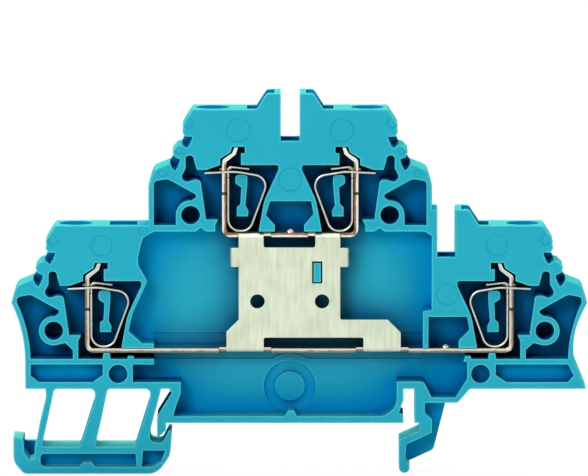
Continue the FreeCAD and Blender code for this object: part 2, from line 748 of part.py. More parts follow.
def upper_space_outline():
    """Deep space in the middle of the body, from the lower bar up to the upper one."""
    s = size
    roof = upper_bar_z + s.cavity_roof
    right = upper_right.post + s.wing_reach
    low = lower_bar_z
    return [
        (upper_left.post - s.wing_reach + s.wall, roof, s.bend),
        upper_left.at(-s.pin_side + s.wall, s.cavity_roof),
        upper_left.at(-s.wire_wall, s.cavity_roof + s.roof_nick),
        upper_left.at(-s.wire_foot, s.cavity_roof),
        upper_right.at(-s.wire_foot, s.cavity_roof),
        upper_right.at(-s.wire_wall, s.cavity_roof + s.roof_nick),
        upper_right.at(-s.pin_side + s.wall, s.cavity_roof),
        (right - 0.95, roof, 0),
        (right, roof - 0.65, 0),
        (right, lower_bar_z + s.jumper_room + 0.9, 0),
        (right - 1.2, lower_bar_z + s.jumper_room + 0.75, 0),
        (right - 1.2, low, 0),
        (lower_left.post + s.chamber_head + 1.75, low, 0),
        lower_left.at(s.chamber_head + 1.75, 1.35, 0),
        lower_left.at(s.chamber_waist + 2.05, 1.35, 0),
        lower_left.at(s.chamber_waist + 0.15, 3.05, 0),
        lower_left.at(s.chamber_waist + s.wall, s.waist_height + 0.4, 0),
        lower_left.at(s.chamber_head + s.wall + 0.1, s.roof, s.bend),
        lower_left.at(s.chamber_head - 0.4, s.roof + 2.1, s.bend),
        lower_left.at(s.chamber_head - 0.45, s.roof + 3.3, 0),
        lower_left.at(s.chamber_head + 0.2, s.roof + 6.0, s.bend),
    ]


def lower_space_outline():
    """Deep space under the lower bar, round the block over the right foot."""
    s = size
    roof = lower_bar_z + s.strip
    slot_left = right_leg_left() - s.spring_slot
    block_left = slot_left - s.sole
    block_right = block_left + s.foot_block_width
    shelf_top = s.shelf_under + s.wall
    left = -rail_edge + s.latch_reach + s.sole + 0.3
    pocket_left = lower_left.post + s.chamber_foot + 1.6
    return [
        (lower_right.post - s.step_side, roof, 0),
        (lower_right.post - s.step_side, s.wing_under + 1.4, 0),
        (s.shelf_end - 0.3, shelf_top, 0),
        (block_right + 1.15, shelf_top, 0),
        (block_right, s.foot_block_top, s.bend),
        (block_left, s.foot_block_top, 0),
        (block_left, s.sole, 2.5),
        (left - 1.1, s.sole, 0.25),
        (left, s.wing_under - 0.5, 1.2),
        (left, s.wing_under + s.sole, 0),
        (pocket_left, s.wing_under + s.sole, 0),
        (pocket_left, s.wing_under + s.sole + s.floor_pocket, 0),
        (lower_left.post + s.chamber_head + 1.75, s.wing_under + s.sole + s.floor_pocket, 0),
        (lower_left.post + s.chamber_head + 1.75, roof, 0),
    ]


def wing_pocket_outline(clamp):
    s = size
    low = s.wing_under + s.sole - lower_bar_z
    high = low + s.floor_pocket
    lean = 0 if clamp is lower_left else 0.8
    return [
        clamp.at(s.chamber_foot - 2.55, high),
        clamp.at(-s.shin_side + s.wall, high),
        clamp.at(-s.shin_side + s.wall - lean, low + 0.9),
        clamp.at(-s.shin_side + s.wall + 1.1 - 1.4 * length(lean), low, 0),
        clamp.at(s.chamber_foot - 4.0, low, 0),
        clamp.at(s.chamber_foot - 2.55, low + 1.0, 0),
    ]


def jumper_room_outline(clamp):
    """Pocket under a jumper slot, open to the bar below it."""
    s = size
    middle = clamp.post + clamp.side * (s.tower_side + s.jumper_width / 2)
    base = clamp.bar_z
    right_in = 2.0 if clamp.upper else 3.1
    left_in = 1.85 if clamp.upper else 2.3
    return [
        (middle - 2.7, base + s.jumper_room, 0),
        (middle + 2.95, base + s.jumper_room, 0),
        (middle + 3.3, base + s.jumper_room - 1.85, 0),
        (middle + right_in, base + 1.7, 0),
        (middle + right_in, base + s.strip, 0),
        (middle - left_in - 0.2, base + s.strip, 0),
        (middle - left_in - 0.2, base + 1.7, 0),
        (middle - 3.3, base + s.jumper_room - 2.0, 0),
    ]


def right_room_outline():
    """Pocket between the lower right clamp and the middle, under its jumper slot."""
    s = size
    left = upper_right.post + s.wing_reach - 0.45
    return [
        (left, lower_bar_z + s.jumper_room, 0),
        lower_right.at(s.step_side + 0.05, s.jumper_room, 0),
        lower_right.at(s.step_side - 0.3, s.jumper_room - 1.85),
        lower_right.at(s.step_side + 1.2, 1.7),
        lower_right.at(s.step_side + 1.2, s.strip / 2, 0),
        (left, lower_bar_z + s.strip / 2, 0),
    ]


def outer_form(body):
    """Everything solid: the stepped body, the four towers and both feet."""
    s = size
    pad(body, "core", [core_outline()], back, front)
    for clamp in clamps:
        pad(body, f"tower_{clamp.name}", [tower_outline(clamp)], back, front)
    pad(body, "left_foot", [left_foot_outline()], back, front)
    pad(body, "right_foot_web", [right_web_outline()], back, back + s.foot_web)
    pad(body, "right_foot_rib", [right_rib_outline()], back, front)


def clamp_hollow(clamp):
    """The hollow of one clamp, drawn from the foot of its post and taken from the housing."""
    s = size
    body = new_body(f"hollow_{clamp.name}")
    bind(body, "Placement.Base.x", clamp.post)
    bind(body, "Placement.Base.z", clamp.bar_z)
    pad(body, "wire_space", [wire_space_outline(clamp)], floor, beyond)
    pad(body, "spring_chamber", [spring_chamber_outline(clamp)], floor, beyond)
    pad(body, "lip_slot", [lip_slot_outline(clamp)], floor, beyond)
    pad(body, "cheek", [cheek_outline(clamp)], floor, beyond)
    x, z, unused = clamp.near(-s.pin_side, s.pin_height)
    cut(body, "pin_ring", [(x, z, s.pin_bore + s.wall)], front, floor)
    pad(body, "pin_bore", [(x, z, s.pin_bore)], floor, beyond)
    cut(body, "horn", [horn_outline(clamp)], front - s.horn_face, floor)
    wire_funnel(body, clamp)
    near, far = s.driver_side, s.driver_side + s.driver_length
    slot = rectangle(clamp.side * near, clamp.side * far,
                     -s.driver_breadth / 2, s.driver_breadth / 2)
    pad(body, "driver_slot", [slot], s.roof - 0.2, s.tower_height + s.peak_rise + 0.5, "XY_Plane")
    if clamp in (upper_left, lower_right):
        near = clamp.side * s.tower_side
        far = clamp.side * (s.tower_side + s.jumper_width)
        gap = rectangle(near, far, s.jumper_floor, s.tower_height + s.peak_rise + 0.5)
        pad(body, "jumper_slot", [gap], back - 0.5, beyond)
        shaft = rectangle(near, far, -s.jumper_breadth / 2, s.jumper_breadth / 2)
        pad(body, "jumper_shaft", [shaft], s.jumper_room - 0.2, s.jumper_floor + 0.5, "XY_Plane")
    return body


def wire_funnel(body, clamp):
    """Oval mouth that narrows to the round bore down to the wire space."""
    s = size
    x = -clamp.side * s.wire_side
    mouth = new_sketch(body, f"{body.Name}_mouth", "XY_Plane", s.tower_height)
    draw_ellipse(mouth, x, s.funnel_length / 2, s.funnel_breadth / 2)
    throat = new_sketch(body, f"{body.Name}_throat", "XY_Plane", s.tower_height - s.funnel_depth)
    draw_circle(throat, x, 0, s.wire_bore / 2)
    funnel = body.newObject("PartDesign::AdditiveLoft", f"{body.Name}_funnel")
    funnel.Profile = mouth
    funnel.Sections = [throat]
    funnel.Refine = False
    pad(body, "wire_bore", [(x, 0, s.wire_bore / 2)],
        s.wire_roof - 0.3, s.tower_height - s.funnel_depth, "XY_Plane")


def draw_ellipse(sketch, x, half_length, half_breadth):
    middle = FreeCAD.Vector(x.value, 0, 0)
    shape = Part.Ellipse(middle, half_length.value, half_breadth.value)
    ring = sketch.addGeometry(shape, False)
    sketch.exposeInternalGeometry(ring)
    known = sketch.ConstraintCount
    sketch.addConstraint([
        Sketcher.Constraint("DistanceX", -1, 1, ring, 3, x.value),
        Sketcher.Constraint("PointOnObject", ring, 3, -1),
        Sketcher.Constraint("Horizontal", ring + 1),
        Sketcher.Constraint("Distance", ring + 1, 2 * half_length.value),
        Sketcher.Constraint("Distance", ring + 2, 2 * half_breadth.value),
    ])
    bind(sketch, f"Constraints[{known}]", x)
    bind(sketch, f"Constraints[{known + 3}]", half_length * 2)
    bind(sketch, f"Constraints[{known + 4}]", half_breadth * 2)


def middle_hollow():
    """Deep spaces between the clamps, with the bar channel and the rooms under the slots."""
    s = size
    body = new_body("hollow_middle")
    pad(body, "upper_space", [upper_space_outline()], floor, beyond)
    pad(body, "lower_space", [lower_space_outline()], floor, beyond)
    channel = [
        (lower_left.post - s.bar_end_gap, wing_floor, 0),
        (lower_right.post + s.bar_end_gap, wing_floor, 0),
        (lower_right.post + s.bar_end_gap, channel_roof, 0),
        (lower_left.post - s.bar_end_gap, channel_roof, 0),
    ]
    pad(body, "bar_channel", [channel], floor, beyond)
    pad(body, "room_upper", [jumper_room_outline(upper_left)], floor, beyond)
    pad(body, "room_lower", [right_room_outline()], floor, beyond)
    wings = [wing_pocket_outline(clamp) for clamp in (lower_left, lower_right)]
    pad(body, "wing_pockets", wings, floor, beyond)
    bores = []
    for clamp in (lower_left, lower_right):
        spot = clamp.at(s.chamber_foot - 0.45, 0)
        height = s.wing_under + s.sole + s.floor_pocket / 2 - 0.1
        bores.append((spot[0], height, s.pin_bore))
    pad(body, "wing_bores", bores, floor, beyond)
    cut(body, "bar_rests", bar_rests(), front, floor)
    cut(body, "link_key", [key_outline()], front - s.link_front_gap, floor)
    dish_x = length(-0.37)
    pad(body, "dish", [(dish_x, s.dish_height, s.dish_radius)], floor - s.dish_depth, floor)
    cut(body, "dish_island", [(dish_x, s.dish_height, s.dish_island)],
        floor, floor - s.dish_depth)
    recess = rectangle(lower_left.post + s.chamber_head + 1.75, upper_right.post + s.wing_reach - 1.2,
                       lower_bar_z - 2 * s.wall, lower_bar_z + 3 * s.wall)
    pad(body, "bar_recess", [recess], floor - s.recess_depth, floor)
    return body


def bar_rests():
    """Small feet that carry the lower bar over the wing floors."""
    s = size
    rests = []
    for clamp in (lower_left, lower_right):
        foot = -s.bar_air - s.wall / 2
        for inward, width, up in ((2.55, 0.83, 0), (5.94, 0.76, -0.42)):
            rests.append([
                clamp.at(inward - 0.2, foot),
                clamp.at(inward + width + 0.2, foot),
                clamp.at(inward + width, up),
                clamp.at(inward, up),
            ])
    return rests


def key_outline():
    """Key of the housing that stands through the slot of the link."""
    s = size
    half_key = s.key_slot / 2 - s.key_play
    half_rise = s.key_slot_height / 2 - s.key_play
    return rectangle(s.key_right - half_key, s.key_right + half_key,
                     s.key_height - half_rise, s.key_height + half_rise)


def foot_hollow():
    """Leaning windows of the left foot, its screwdriver notch and the two beam pockets."""
    s = size
    body = new_body("hollow_foot")
    pad(body, "windows", [foot_window(0), foot_window(1)], back - 0.5, beyond)
    foot_mid = (s.foot_drop + s.window_floor) / 2
    notch = [
        (-s.foot_left + 1.35, -s.foot_lip, 0),
        (-s.foot_left + 3.0, -s.foot_lip, 0),
        (-s.foot_left + 2.9, -foot_mid + 0.3, 0),
        (-s.foot_left + 2.2, -foot_mid, 0),
        (-s.foot_left + 1.5, -foot_mid + 1.1, 0),
    ]
    left = -s.foot_left + 3.75
    middle = -s.window_start + s.window_pitch + 0.2
    right = -rail_edge - s.prong - 2.5
    high = -s.window_floor - s.sole
    low = -s.foot_drop + s.sole
    beam = [
        (left, high, s.bend),
        (right - 0.5, high, 0),
        (right - 0.3, low, 0),
        (middle - 1.9, low, 0),
        (middle - 2.5, low + 0.65, 0),
        (middle - 3.6, low + 0.65, 0),
        (middle - 4.2, low, 0),
        (left, low, s.bend),
    ]
    heel = [
        (right + s.wall - 0.2, high + 0.45, 0),
        (right + s.wall + 2.9, high + 0.45, 0),
        (right + s.wall + 2.3, low + 0.7, 0.5),
        (right + s.wall + 1.1, low, 0.3),
        (right + s.wall - 0.4, low, 0),
    ]
    pad(body, "pockets", [notch, beam, heel], floor, beyond)
    return body


def make_housing():
    """One moulding: the outer form with the hollow bodies taken from it."""
    hollows = [clamp_hollow(clamp) for clamp in clamps]
    hollows.append(middle_hollow())
    hollows.append(foot_hollow())
    body = new_body("housing")
    outer_form(body)
    taken = body.newObject("PartDesign::Boolean", "hollows")
    taken.Type = "Cut"
    taken.setObjects(hollows)
    return body


# Current bars

def lip_outline(clamp):
    """Narrow upper end of a post, which leans over and ends in an upright tip."""
    s = size
    lean_top = s.post_rise + s.lip_rise
    slant = 0.35
    return [
        clamp.at(0, s.shoulder, 0),
        clamp.at(0, s.post_rise, 0.7),
        clamp.at(s.lip_lean, lean_top, 0.5),
        clamp.at(s.lip_lean + s.tip_lean, lean_top + s.lip_tip, 0),
        clamp.at(s.lip_lean + s.tip_lean + s.strip - 0.05, lean_top + s.lip_tip, 0),
        clamp.at(s.lip_lean + s.strip, lean_top - slant / 2, 0.2),
        clamp.at(s.strip, s.post_rise - slant, 0.2),
        clamp.at(s.strip, s.shoulder, 0),
    ]


def make_bar(name, left, right, notches, collar_x):
    s = size
    body = new_body(name)
    z = left.bar_z
    strip_outline = [
        left.at(0, s.shoulder, 0),
        left.at(0, 0, s.bend_inside + s.strip),
        right.at(0, 0, s.bend_inside + s.strip),
        right.at(0, s.shoulder, 0),
        right.at(s.strip, s.shoulder, 0),
        right.at(s.strip, s.strip, s.bend_inside),
        left.at(s.strip, s.strip, s.bend_inside),
        left.at(s.strip, s.shoulder, 0),
    ]
    pad(body, "strip", [strip_outline], bar_back, bar_back + s.bar_width)
    half = s.post_width / 2
    pad(body, "lips", [lip_outline(left), lip_outline(right)],
        bar_middle - half, bar_middle + half)
    gaps = [rectangle(a, b, z - s.strip, z + 2 * s.strip) for a, b in notches]
    cut(body, "notches", gaps, bar_back + s.bar_width,
        bar_back + s.bar_width - s.notch_depth)
    pad(body, "collar", [(collar_x, -bar_middle, s.collar_outer)],
        z + s.strip / 2, z + s.strip + s.collar_height, "XY_Plane")
    cut(body, "collar_bore", [(collar_x, -bar_middle, s.collar_bore)],
        z + s.strip + s.collar_height, z - s.strip, "XY_Plane")
    return body


# Clamping springs

def sweep_strip(body, name, path, start_height, start_x, width):
    """A strip of the spring's thickness that follows a bent path from an upright start."""
    s = size
    route = new_sketch(body, name + "_path", "XZ_Plane", bar_middle)
    draw(route, path, closed=False)
    section = new_sketch(body, name + "_section", "XY_Plane", start_height)
    half = s.spring_strip / 2
    draw(section, rectangle(start_x - half, start_x + half,
                            -bar_middle - width / 2, -bar_middle + width / 2))
    feature = body.newObject("PartDesign::AdditivePipe", name)
    feature.Profile = section
    feature.Spine = route
    feature.Mode = "Binormal"
    feature.Binormal = FreeCAD.Vector(0, 1, 0)
    feature.Transition = "Transformed"
    return feature


def make_spring(clamp):
    s = size
    name = f"spring_{clamp.name}"
    body = new_body(name)
    leg = s.strip + s.spring_gap + s.spring_strip / 2
    loop_low = s.strip + s.spring_gap + s.spring_strip / 2
    loop = [
        clamp.at(leg, s.spring_neck, 0),
        clamp.at(leg, loop_low, s.loop_bend),
        clamp.at(s.loop_foot, loop_low, s.loop_bend - 0.05),
        clamp.at(s.loop_side, s.loop_top, s.loop_crown),
        clamp.at(s.arm_mid, s.arm_height, s.arm_curve),
        clamp.at(-s.arm_reach, s.arm_height - 0.2, 0),
    ]
    leg_x = clamp.at(leg, 0)[0]
    sweep_strip(body, name + "_loop", loop, clamp.bar_z + s.spring_neck, leg_x, s.spring_width)
    near = clamp.at(-s.window_reach, 0)[0]
    far = clamp.at(leg + s.spring_strip / 2 + s.window_reach, 0)[0]
    window = rectangle(near, far, -bar_middle - s.window_width / 2,
                       -bar_middle + s.window_width / 2)
    cut(body, "window", [window], clamp.bar_z + s.arm_height + 0.8,
        clamp.bar_z + s.spring_neck + 0.1, "XY_Plane")
    tab = [
        clamp.at(leg, s.spring_neck, 0),
        clamp.at(leg, s.spring_top, s.tab_bend),
        clamp.at(s.tab_reach, s.spring_top - s.tab_drop, 0),
    ]
    sweep_strip(body, name + "_tab", tab, clamp.bar_z + s.spring_neck, leg_x, s.neck_width)
    return body


# Level link

def link_legs():
    """Left and right end of each leg of the link: upper left, upper right, lower left, lower right."""
    s = size
    low_left = -s.link_left - s.link_spread
    return [
        (-s.link_left, -s.link_left + s.link_leg),
        (s.link_right - s.link_leg, s.link_right),
        (low_left, low_left + s.link_foot),
        (s.link_arm - s.link_foot, s.link_arm),
    ]


def make_link():
    s = size
    body = new_body("link_plate")
    face = front - s.link_front_gap
    legs = link_legs()
    top = upper_bar_z + s.strip
    low = lower_bar_z
    neck = top - s.link_neck
    outline = [
        (legs[0][0], top, 0),
        (legs[0][1], top, 0),
        (legs[0][1], neck, s.nook),
        (legs[1][0], neck, s.nook),
        (legs[1][0], top, 0),
        (legs[1][1], top, 0),
        (legs[1][1], s.link_arm_top, s.nook),
        (legs[3][1] - 1.78, s.link_arm_top, 0),
        (legs[3][1], s.link_arm_top - 1.78, 0),
        (legs[3][1], low, 0),
        (legs[3][0], low, 0),
        (legs[3][0], s.link_arm_under, s.nook),
        (legs[2][1], s.link_arm_under, s.nook),
        (legs[2][1], low, 0),
        (legs[2][0], low, 0),
        (legs[2][0], s.link_arm_top - s.link_spread, 0),
        (legs[0][0], s.link_arm_top, 0),
    ]
    pad(body, "face", [outline], face - s.link_plate, face)
    lug_top = neck - 0.05
    lugs = rectangle(-s.link_left - s.lug_length, s.link_right + s.lug_length,
                     lug_top - s.lug_height, lug_top)
    pad(body, "lugs", [lugs], face - s.link_plate, face)
    ends = [
        rectangle(-s.link_left - s.lug_length, -s.link_left - s.lug_length + s.link_plate,
                  lug_top - s.lug_height, lug_top),
        rectangle(s.link_right + s.lug_length - s.link_plate, s.link_right + s.lug_length,
                  lug_top - s.lug_height, lug_top),
    ]
    pad(body, "lug_ends", ends, face - 2.2 * s.link_plate, face)
    notch_face = bar_back + s.bar_width - s.notch_depth
    upper_flanges = [rectangle(a, b, top - s.strip, top) for a, b in legs[:2]]
    pad(body, "upper_flanges", upper_flanges, notch_face, face)
    lower_flanges = [rectangle(a, b, low, low + s.strip) for a, b in legs[2:]]
    pad(body, "lower_flanges", lower_flanges, notch_face, face)
    holes = [
        (-s.rivet_left, s.rivet_height, s.rivet_hole),
        (s.rivet_right, s.rivet_height, s.rivet_hole),
    ]
    cut(body, "holes", holes, face, face - 2 * s.link_plate)
    slot = rectangle(s.key_right - s.key_slot / 2, s.key_right + s.key_slot / 2,
                     s.key_height - s.key_slot_height / 2, s.key_height + s.key_slot_height / 2)
    cut(body, "slot", [slot], face, face - 2 * s.link_plate)
    doc.recompute()
    bends = outer_bend_edges(body, -face.value, top.value, low.value,
                             -s.link_left.value - s.lug_length.value,
                             s.link_right.value + s.lug_length.value)
    slotted = body.Tip
    fillet = body.newObject("PartDesign::Fillet", "link_bends")
    fillet.Base = (slotted, bends)
    fillet.Radius = (s.link_plate * 0.9).value
    bind(fillet, "Radius", s.link_plate * 0.9)
    return body


def outer_bend_edges(body, face_y, top, low, left, right):
    """Front edges along which the link's legs and lugs are folded back."""
    names = []
    for number, edge in enumerate(body.Shape.Edges, start=1):
        middle = edge.CenterOfMass
        along = edge.Vertexes[-1].Point - edge.Vertexes[0].Point
        at_front = abs(middle.y - face_y) < 0.01
        flat = abs(along.x) > 1 and (abs(middle.z - top) < 0.01 or abs(middle.z - low) < 0.01)
        upright = abs(along.z) > 1 and (abs(middle.x - left) < 0.01 or abs(middle.x - right) < 0.01)
        if at_front and (flat or upright):
            names.append(f"Edge{number}")
    return names


# All pieces

legs = link_legs()
room = size.notch_room
play = size.link_play
upper_notches = [(legs[0][0] - play, legs[0][1] + room), (legs[1][0] - room, legs[1][1] + play)]
lower_notches = [(legs[2][0] - room, legs[2][1] + room), (legs[3][0] - room, legs[3][1] + room)]

pieces = [make_housing()]
pieces.append(make_bar("upper_bar", upper_left, upper_right, upper_notches, size.upper_shift))
jumper_middle = lower_right.at(size.tower_side + size.jumper_width / 2, 0)[0]
pieces.append(make_bar("lower_bar", lower_left, lower_right, lower_notches, jumper_middle))
for clamp in clamps:
    pieces.append(make_spring(clamp))
pieces.append(make_link())
doc.recompute()

for item in doc.Objects:
    if "Invalid" in item.State or "Error" in item.State:
        raise RuntimeError(f"{item.Name} failed: {item.State}")
for piece in pieces:
    if piece.Shape.isNull() or not piece.Shape.isValid():
        raise RuntimeError(f"{piece.Label} is not a sound shape")

os.makedirs("parts", exist_ok=True)
for piece in pieces:
    piece.Shape.exportStep(f"parts/{piece.Label}.step")
    print(piece.Label, len(piece.Shape.Solids), round(piece.Shape.Volume, 2))
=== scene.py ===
# %% [markdown]
# A double level terminal block is a slim plastic moulding that snaps onto a mounting rail.
# Its front is open, so the bent copper bars and the steel clamping springs show.
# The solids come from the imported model, with every piece already at its real place.
# This lesson gives each of them the finish that the real piece has, and lights them.

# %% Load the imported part
import math

import bmesh
import bpy
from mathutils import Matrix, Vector


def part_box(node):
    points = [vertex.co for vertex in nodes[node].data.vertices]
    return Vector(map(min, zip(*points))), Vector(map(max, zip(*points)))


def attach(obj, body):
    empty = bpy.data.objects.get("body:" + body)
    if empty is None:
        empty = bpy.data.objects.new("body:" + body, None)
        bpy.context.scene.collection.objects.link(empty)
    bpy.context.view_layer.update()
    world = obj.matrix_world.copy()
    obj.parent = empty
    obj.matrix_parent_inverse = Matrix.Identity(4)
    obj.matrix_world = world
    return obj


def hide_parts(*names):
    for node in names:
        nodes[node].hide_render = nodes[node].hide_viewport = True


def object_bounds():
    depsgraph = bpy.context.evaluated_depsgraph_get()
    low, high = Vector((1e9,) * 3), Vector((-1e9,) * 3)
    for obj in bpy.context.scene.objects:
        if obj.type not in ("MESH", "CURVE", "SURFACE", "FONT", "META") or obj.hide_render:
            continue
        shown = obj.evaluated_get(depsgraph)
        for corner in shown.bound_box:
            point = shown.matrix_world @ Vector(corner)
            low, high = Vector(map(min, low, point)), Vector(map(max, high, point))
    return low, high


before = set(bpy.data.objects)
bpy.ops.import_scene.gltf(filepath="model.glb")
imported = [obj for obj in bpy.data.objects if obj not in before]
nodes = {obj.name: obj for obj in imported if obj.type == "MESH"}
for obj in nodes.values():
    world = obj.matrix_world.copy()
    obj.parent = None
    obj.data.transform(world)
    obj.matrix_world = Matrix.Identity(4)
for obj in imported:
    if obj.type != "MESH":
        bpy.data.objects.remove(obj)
cad_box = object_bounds()
print("pieces:", sorted(nodes))
print("box in mm:", [[round(v * 1000, 1) for v in corner] for corner in cad_box])

# %% [markdown]
# Sizes are written in millimetres, because that is how a moulding is drawn. Blender counts in metres.
# Colours are written as sRGB hex values, as a paint card gives them.
# Shaders work with linear light, so one function turns a hex value into a linear colour.

# %% Millimetres and colours
MM = 0.001


def linear(code):
    """A linear colour with full opacity from an sRGB hex value such as '26a8c4'."""
    channels = [int(code[i : i + 2], 16) / 255 for i in (0, 2, 4)]
    return [c / 12.92 if c <= 0.04045 else ((c + 0.055) / 1.055) ** 2.4 for c in channels] + [1.0]


print("mid blue in linear light:", [round(c, 3) for c in linear("26a8c4")])

# %% [markdown]
# A material is a small graph of nodes. One function adds a node: keywords set its properties,
# and the dictionary sets its inputs, either to a value or to a link from another node's output.
# Every material below is made with it, so the recipes read as lists of what the surface is.

# %% A helper that adds a node
def add(tree, kind, inputs=None, **settings):
    """Adds a node of that kind, with its settings and with its inputs set or linked."""
    node = tree.nodes.new("ShaderNode" + kind)
    for name, value in settings.items():
        setattr(node, name, value)
    for name, value in (inputs or {}).items():
        if isinstance(value, bpy.types.NodeSocket):
            tree.links.new(value, node.inputs[name])
        else:
            node.inputs[name].default_value = value
    return node


def new_material(name):
    """An empty material with its output node."""
    material = bpy.data.materials.new(name)
    material.use_nodes = True
    material.node_tree.nodes.clear()
    output = add(material.node_tree, "OutputMaterial")
    return material, material.node_tree, output


def smallest(tree, values):
    """The smallest of several values at each point."""
    least = values[0]
    for value in values[1:]:
        least = add(tree, "Math", {0: least, 1: value}, operation="MINIMUM").outputs[0]
    return least


print("node helpers ready")

# %% [markdown]
# A moulding has no knife edges: the tool's corners leave a radius of about a tenth of a millimetre,
# and that radius is what catches the light along every rib. Modelling it on hundreds of ribs would cost
# many faces. The Bevel node bends the shading normal near an edge instead, by a radius in metres.
# A fine noise on top of it gives the surface that spark erosion leaves in the tool.

# %% Rounded shading for edges
def soft_edges(tree, radius_mm):
    """A normal that rounds every edge by that radius."""
    bevel = add(tree, "Bevel", {"Radius": radius_mm * MM}, samples=8)
    return bevel.outputs["Normal"]


def grain(tree, size_mm, detail=2.0):
    """A noise whose features are about that wide, on Object coordinates."""
    place = add(tree, "TexCoord")
    noise = add(
        tree,
        "TexNoise",
        {"Vector": place.outputs["Object"], "Scale": 1 / (size_mm * MM), "Detail": detail},
    )
    return noise.outputs["Fac"]


print("edge radius and grain helpers ready")

# %% [markdown]
# The pins that push a warm moulding out of its tool leave round marks, each a disc a few hundredths
# of a millimetre deep. They are too shallow to model, so they are written into the bump, a little
# deeper than they are, so that they show. For each mark the shader works out how far a point lies
# from its middle, and the nearest mark wins. The marks lie on the front faces, in one plane.

# %% Ejector marks
FRONT = -2.55
MARK_DEPTH = 0.12
MARK_RIM = 0.06
MARKS = [
    (-7.45, 40.98, 1.6),
    (6.81, 40.98, 1.6),
    (-0.32, 34.14, 1.6),
    (28.27, 24.9, 1.45),
    (21.43, 18.08, 1.5),
    (-26.4, 24.9, 1.45),
    (-33.1, 25.65, 0.66),
    (-20.7, 26.9, 0.6),
    (-14.4, 42.0, 0.66),
    (-15.7, 38.1, 0.4),
    (-17.9, 35.0, 0.5),
    (13.76, 42.0, 0.66),
    (15.06, 38.1, 0.4),
    (17.26, 35.0, 0.5),
    (34.98, 25.65, 0.66),
    (-19.75, 8.6, 0.55),
]


def ejector_marks(tree):
    """Nought inside each ejector mark and one outside. A mark is X, Z and radius."""
    place = add(tree, "TexCoord").outputs["Object"]
    past_rims = []
    for x, z, radius in MARKS:
        middle = (x * MM, FRONT * MM, z * MM)
        far = add(tree, "VectorMath", {0: place, 1: middle}, operation="DISTANCE")
        past = add(tree, "Math", {0: far.outputs["Value"], 1: radius * MM}, operation="SUBTRACT")
        past_rims.append(past.outputs[0])
    disc = add(
        tree,
        "MapRange",
        {"Value": smallest(tree, past_rims), "From Min": -MARK_RIM * MM, "From Max": MARK_RIM * MM},
        interpolation_type="SMOOTHSTEP",
    )
    return disc.outputs["Result"]


print("ejector marks:", len(MARKS))

# %% [markdown]
# The housing is polyamide 66, a tough plastic that is moulded hot into a polished and eroded tool.
# It has a satin skin, a strong turquoise pigment and a slight glow where thin walls let light through.
# Light that reaches the bottom of a pocket has met the pigment several times, and each meeting takes
# more of the green, so pockets turn navy in shade; here that shade is painted into the colour.
# Ambient occlusion tells how enclosed a point is, and a colour ramp turns that into painted shade, from
# navy in a closed corner to turquoise on an open face.
# The feet stand near the white table, and its light is painted into their pockets, which are a little
# paler.

# %% Painted shade by depth
# Colours of the painted shade, from a closed corner to an open face.
PAINTED_DEPTH_SHADE = [(0.0, "000c28"), (0.2, "0064a8"), (0.45, "008ed0"), (0.8, "0684b8")]
SKIN_COLOURS = ("1c95ba", "209cc1")
SKIN_DRIFT = 9.0
FOOT_TOP, FOOT_FULL = 0.2, -0.5
# How much paler the feet's pockets are painted, as painted light from the table.
FOOT_PAINTED_LIGHT = 0.15


def set_stops(ramp, stops):
    """Puts the stops of a colour ramp at those places, in those colours."""
    while len(ramp.elements) < len(stops):
        ramp.elements.new(1.0)
    for element, (place, code) in zip(ramp.elements, stops):
        element.position = place
        element.color = linear(code)


def share_in_feet(tree):
    """One in the feet, which lie below the rail's top, and nought above it."""
    height = add(tree, "SeparateXYZ", {0: add(tree, "TexCoord").outputs["Object"]})
    share = add(
        tree,
        "MapRange",
        {"Value": height.outputs["Z"], "From Min": FOOT_TOP * MM, "From Max": FOOT_FULL * MM},
    )
    return share.outputs["Result"]


def painted_depth_shade(tree, enclosed, openness, feet):
    """Painted shade from navy in a closed corner to the skin's turquoise on an open face."""
    skin = add(
        tree,
        "Mix",
        {0: grain(tree, SKIN_DRIFT), 6: linear(SKIN_COLOURS[0]), 7: linear(SKIN_COLOURS[1])},
        data_type="RGBA",
    )
    # Painted light: the feet's pockets are painted paler, for the white table's light.
    depth = add(tree, "Math", {0: feet, 1: FOOT_PAINTED_LIGHT, 2: enclosed}, operation="MULTIPLY_ADD")
    depth_shades = add(tree, "ValToRGB", {0: depth.outputs[0]})
    set_stops(depth_shades.color_ramp, PAINTED_DEPTH_SHADE)
    colour = add(
        tree, "Mix", {0: openness, 6: depth_shades.outputs[0], 7: skin.outputs[2]}, data_type="RGBA"
    )
    return colour.outputs[2]


print("depth colours:", [code for place, code in PAINTED_DEPTH_SHADE])

# %% [markdown]
# Ledges that face upward get a painted highlight, for the light that falls on them and out through the
# wall below.
# It is painted most on the sills in the feet, and about half as strong on open ledges elsewhere.
# Edges get a painted highlight too, for light that also enters through the wall beside them: where the
# rounded normal departs from the flat one, the point lies on an edge.
# A wall gets painted shade where a bar, a spring or the link stands close in front of it. One occlusion
# reading sees only the housing and another sees every piece, so their ratio is that shade alone.

# %% Painted highlights on ledges and edges, painted shade beside neighbours
REACH = 7.0
# Colours of the painted highlights on ledges and edges, and of the painted shade beside neighbours.
PAINTED_LEDGE_HIGHLIGHT = "58bcb8"
PAINTED_EDGE_HIGHLIGHT = "50c8dc"
EDGE_HIGHLIGHT_RADIUS = 0.4
PAINTED_SHADE_COLOURS = [(0.0, "000810"), (0.5, "5caac8"), (1.0, "ffffff")]


def upward_share(tree):
    """Nought on upright faces, and most on faces that look upward."""
    facing = add(tree, "SeparateXYZ", {0: add(tree, "NewGeometry").outputs["Normal"]})
    share = add(
        tree,
        "MapRange",
        {"Value": facing.outputs["Z"], "From Min": 0.2, "From Max": 0.8, "To Max": 0.85},
    )
    return share.outputs["Result"]


def edge_share(tree, radius_mm):
    """Up to 0.7 on an edge and nought on a flat face."""
    flat = add(tree, "NewGeometry").outputs["Normal"]
    rounded = soft_edges(tree, radius_mm)
    same = add(tree, "VectorMath", {0: flat, 1: rounded}, operation="DOT_PRODUCT")
    share = add(
        tree,
        "MapRange",
        {"Value": same.outputs["Value"], "From Min": 0.998, "From Max": 0.88, "To Max": 0.7},
    )
    return share.outputs["Result"]


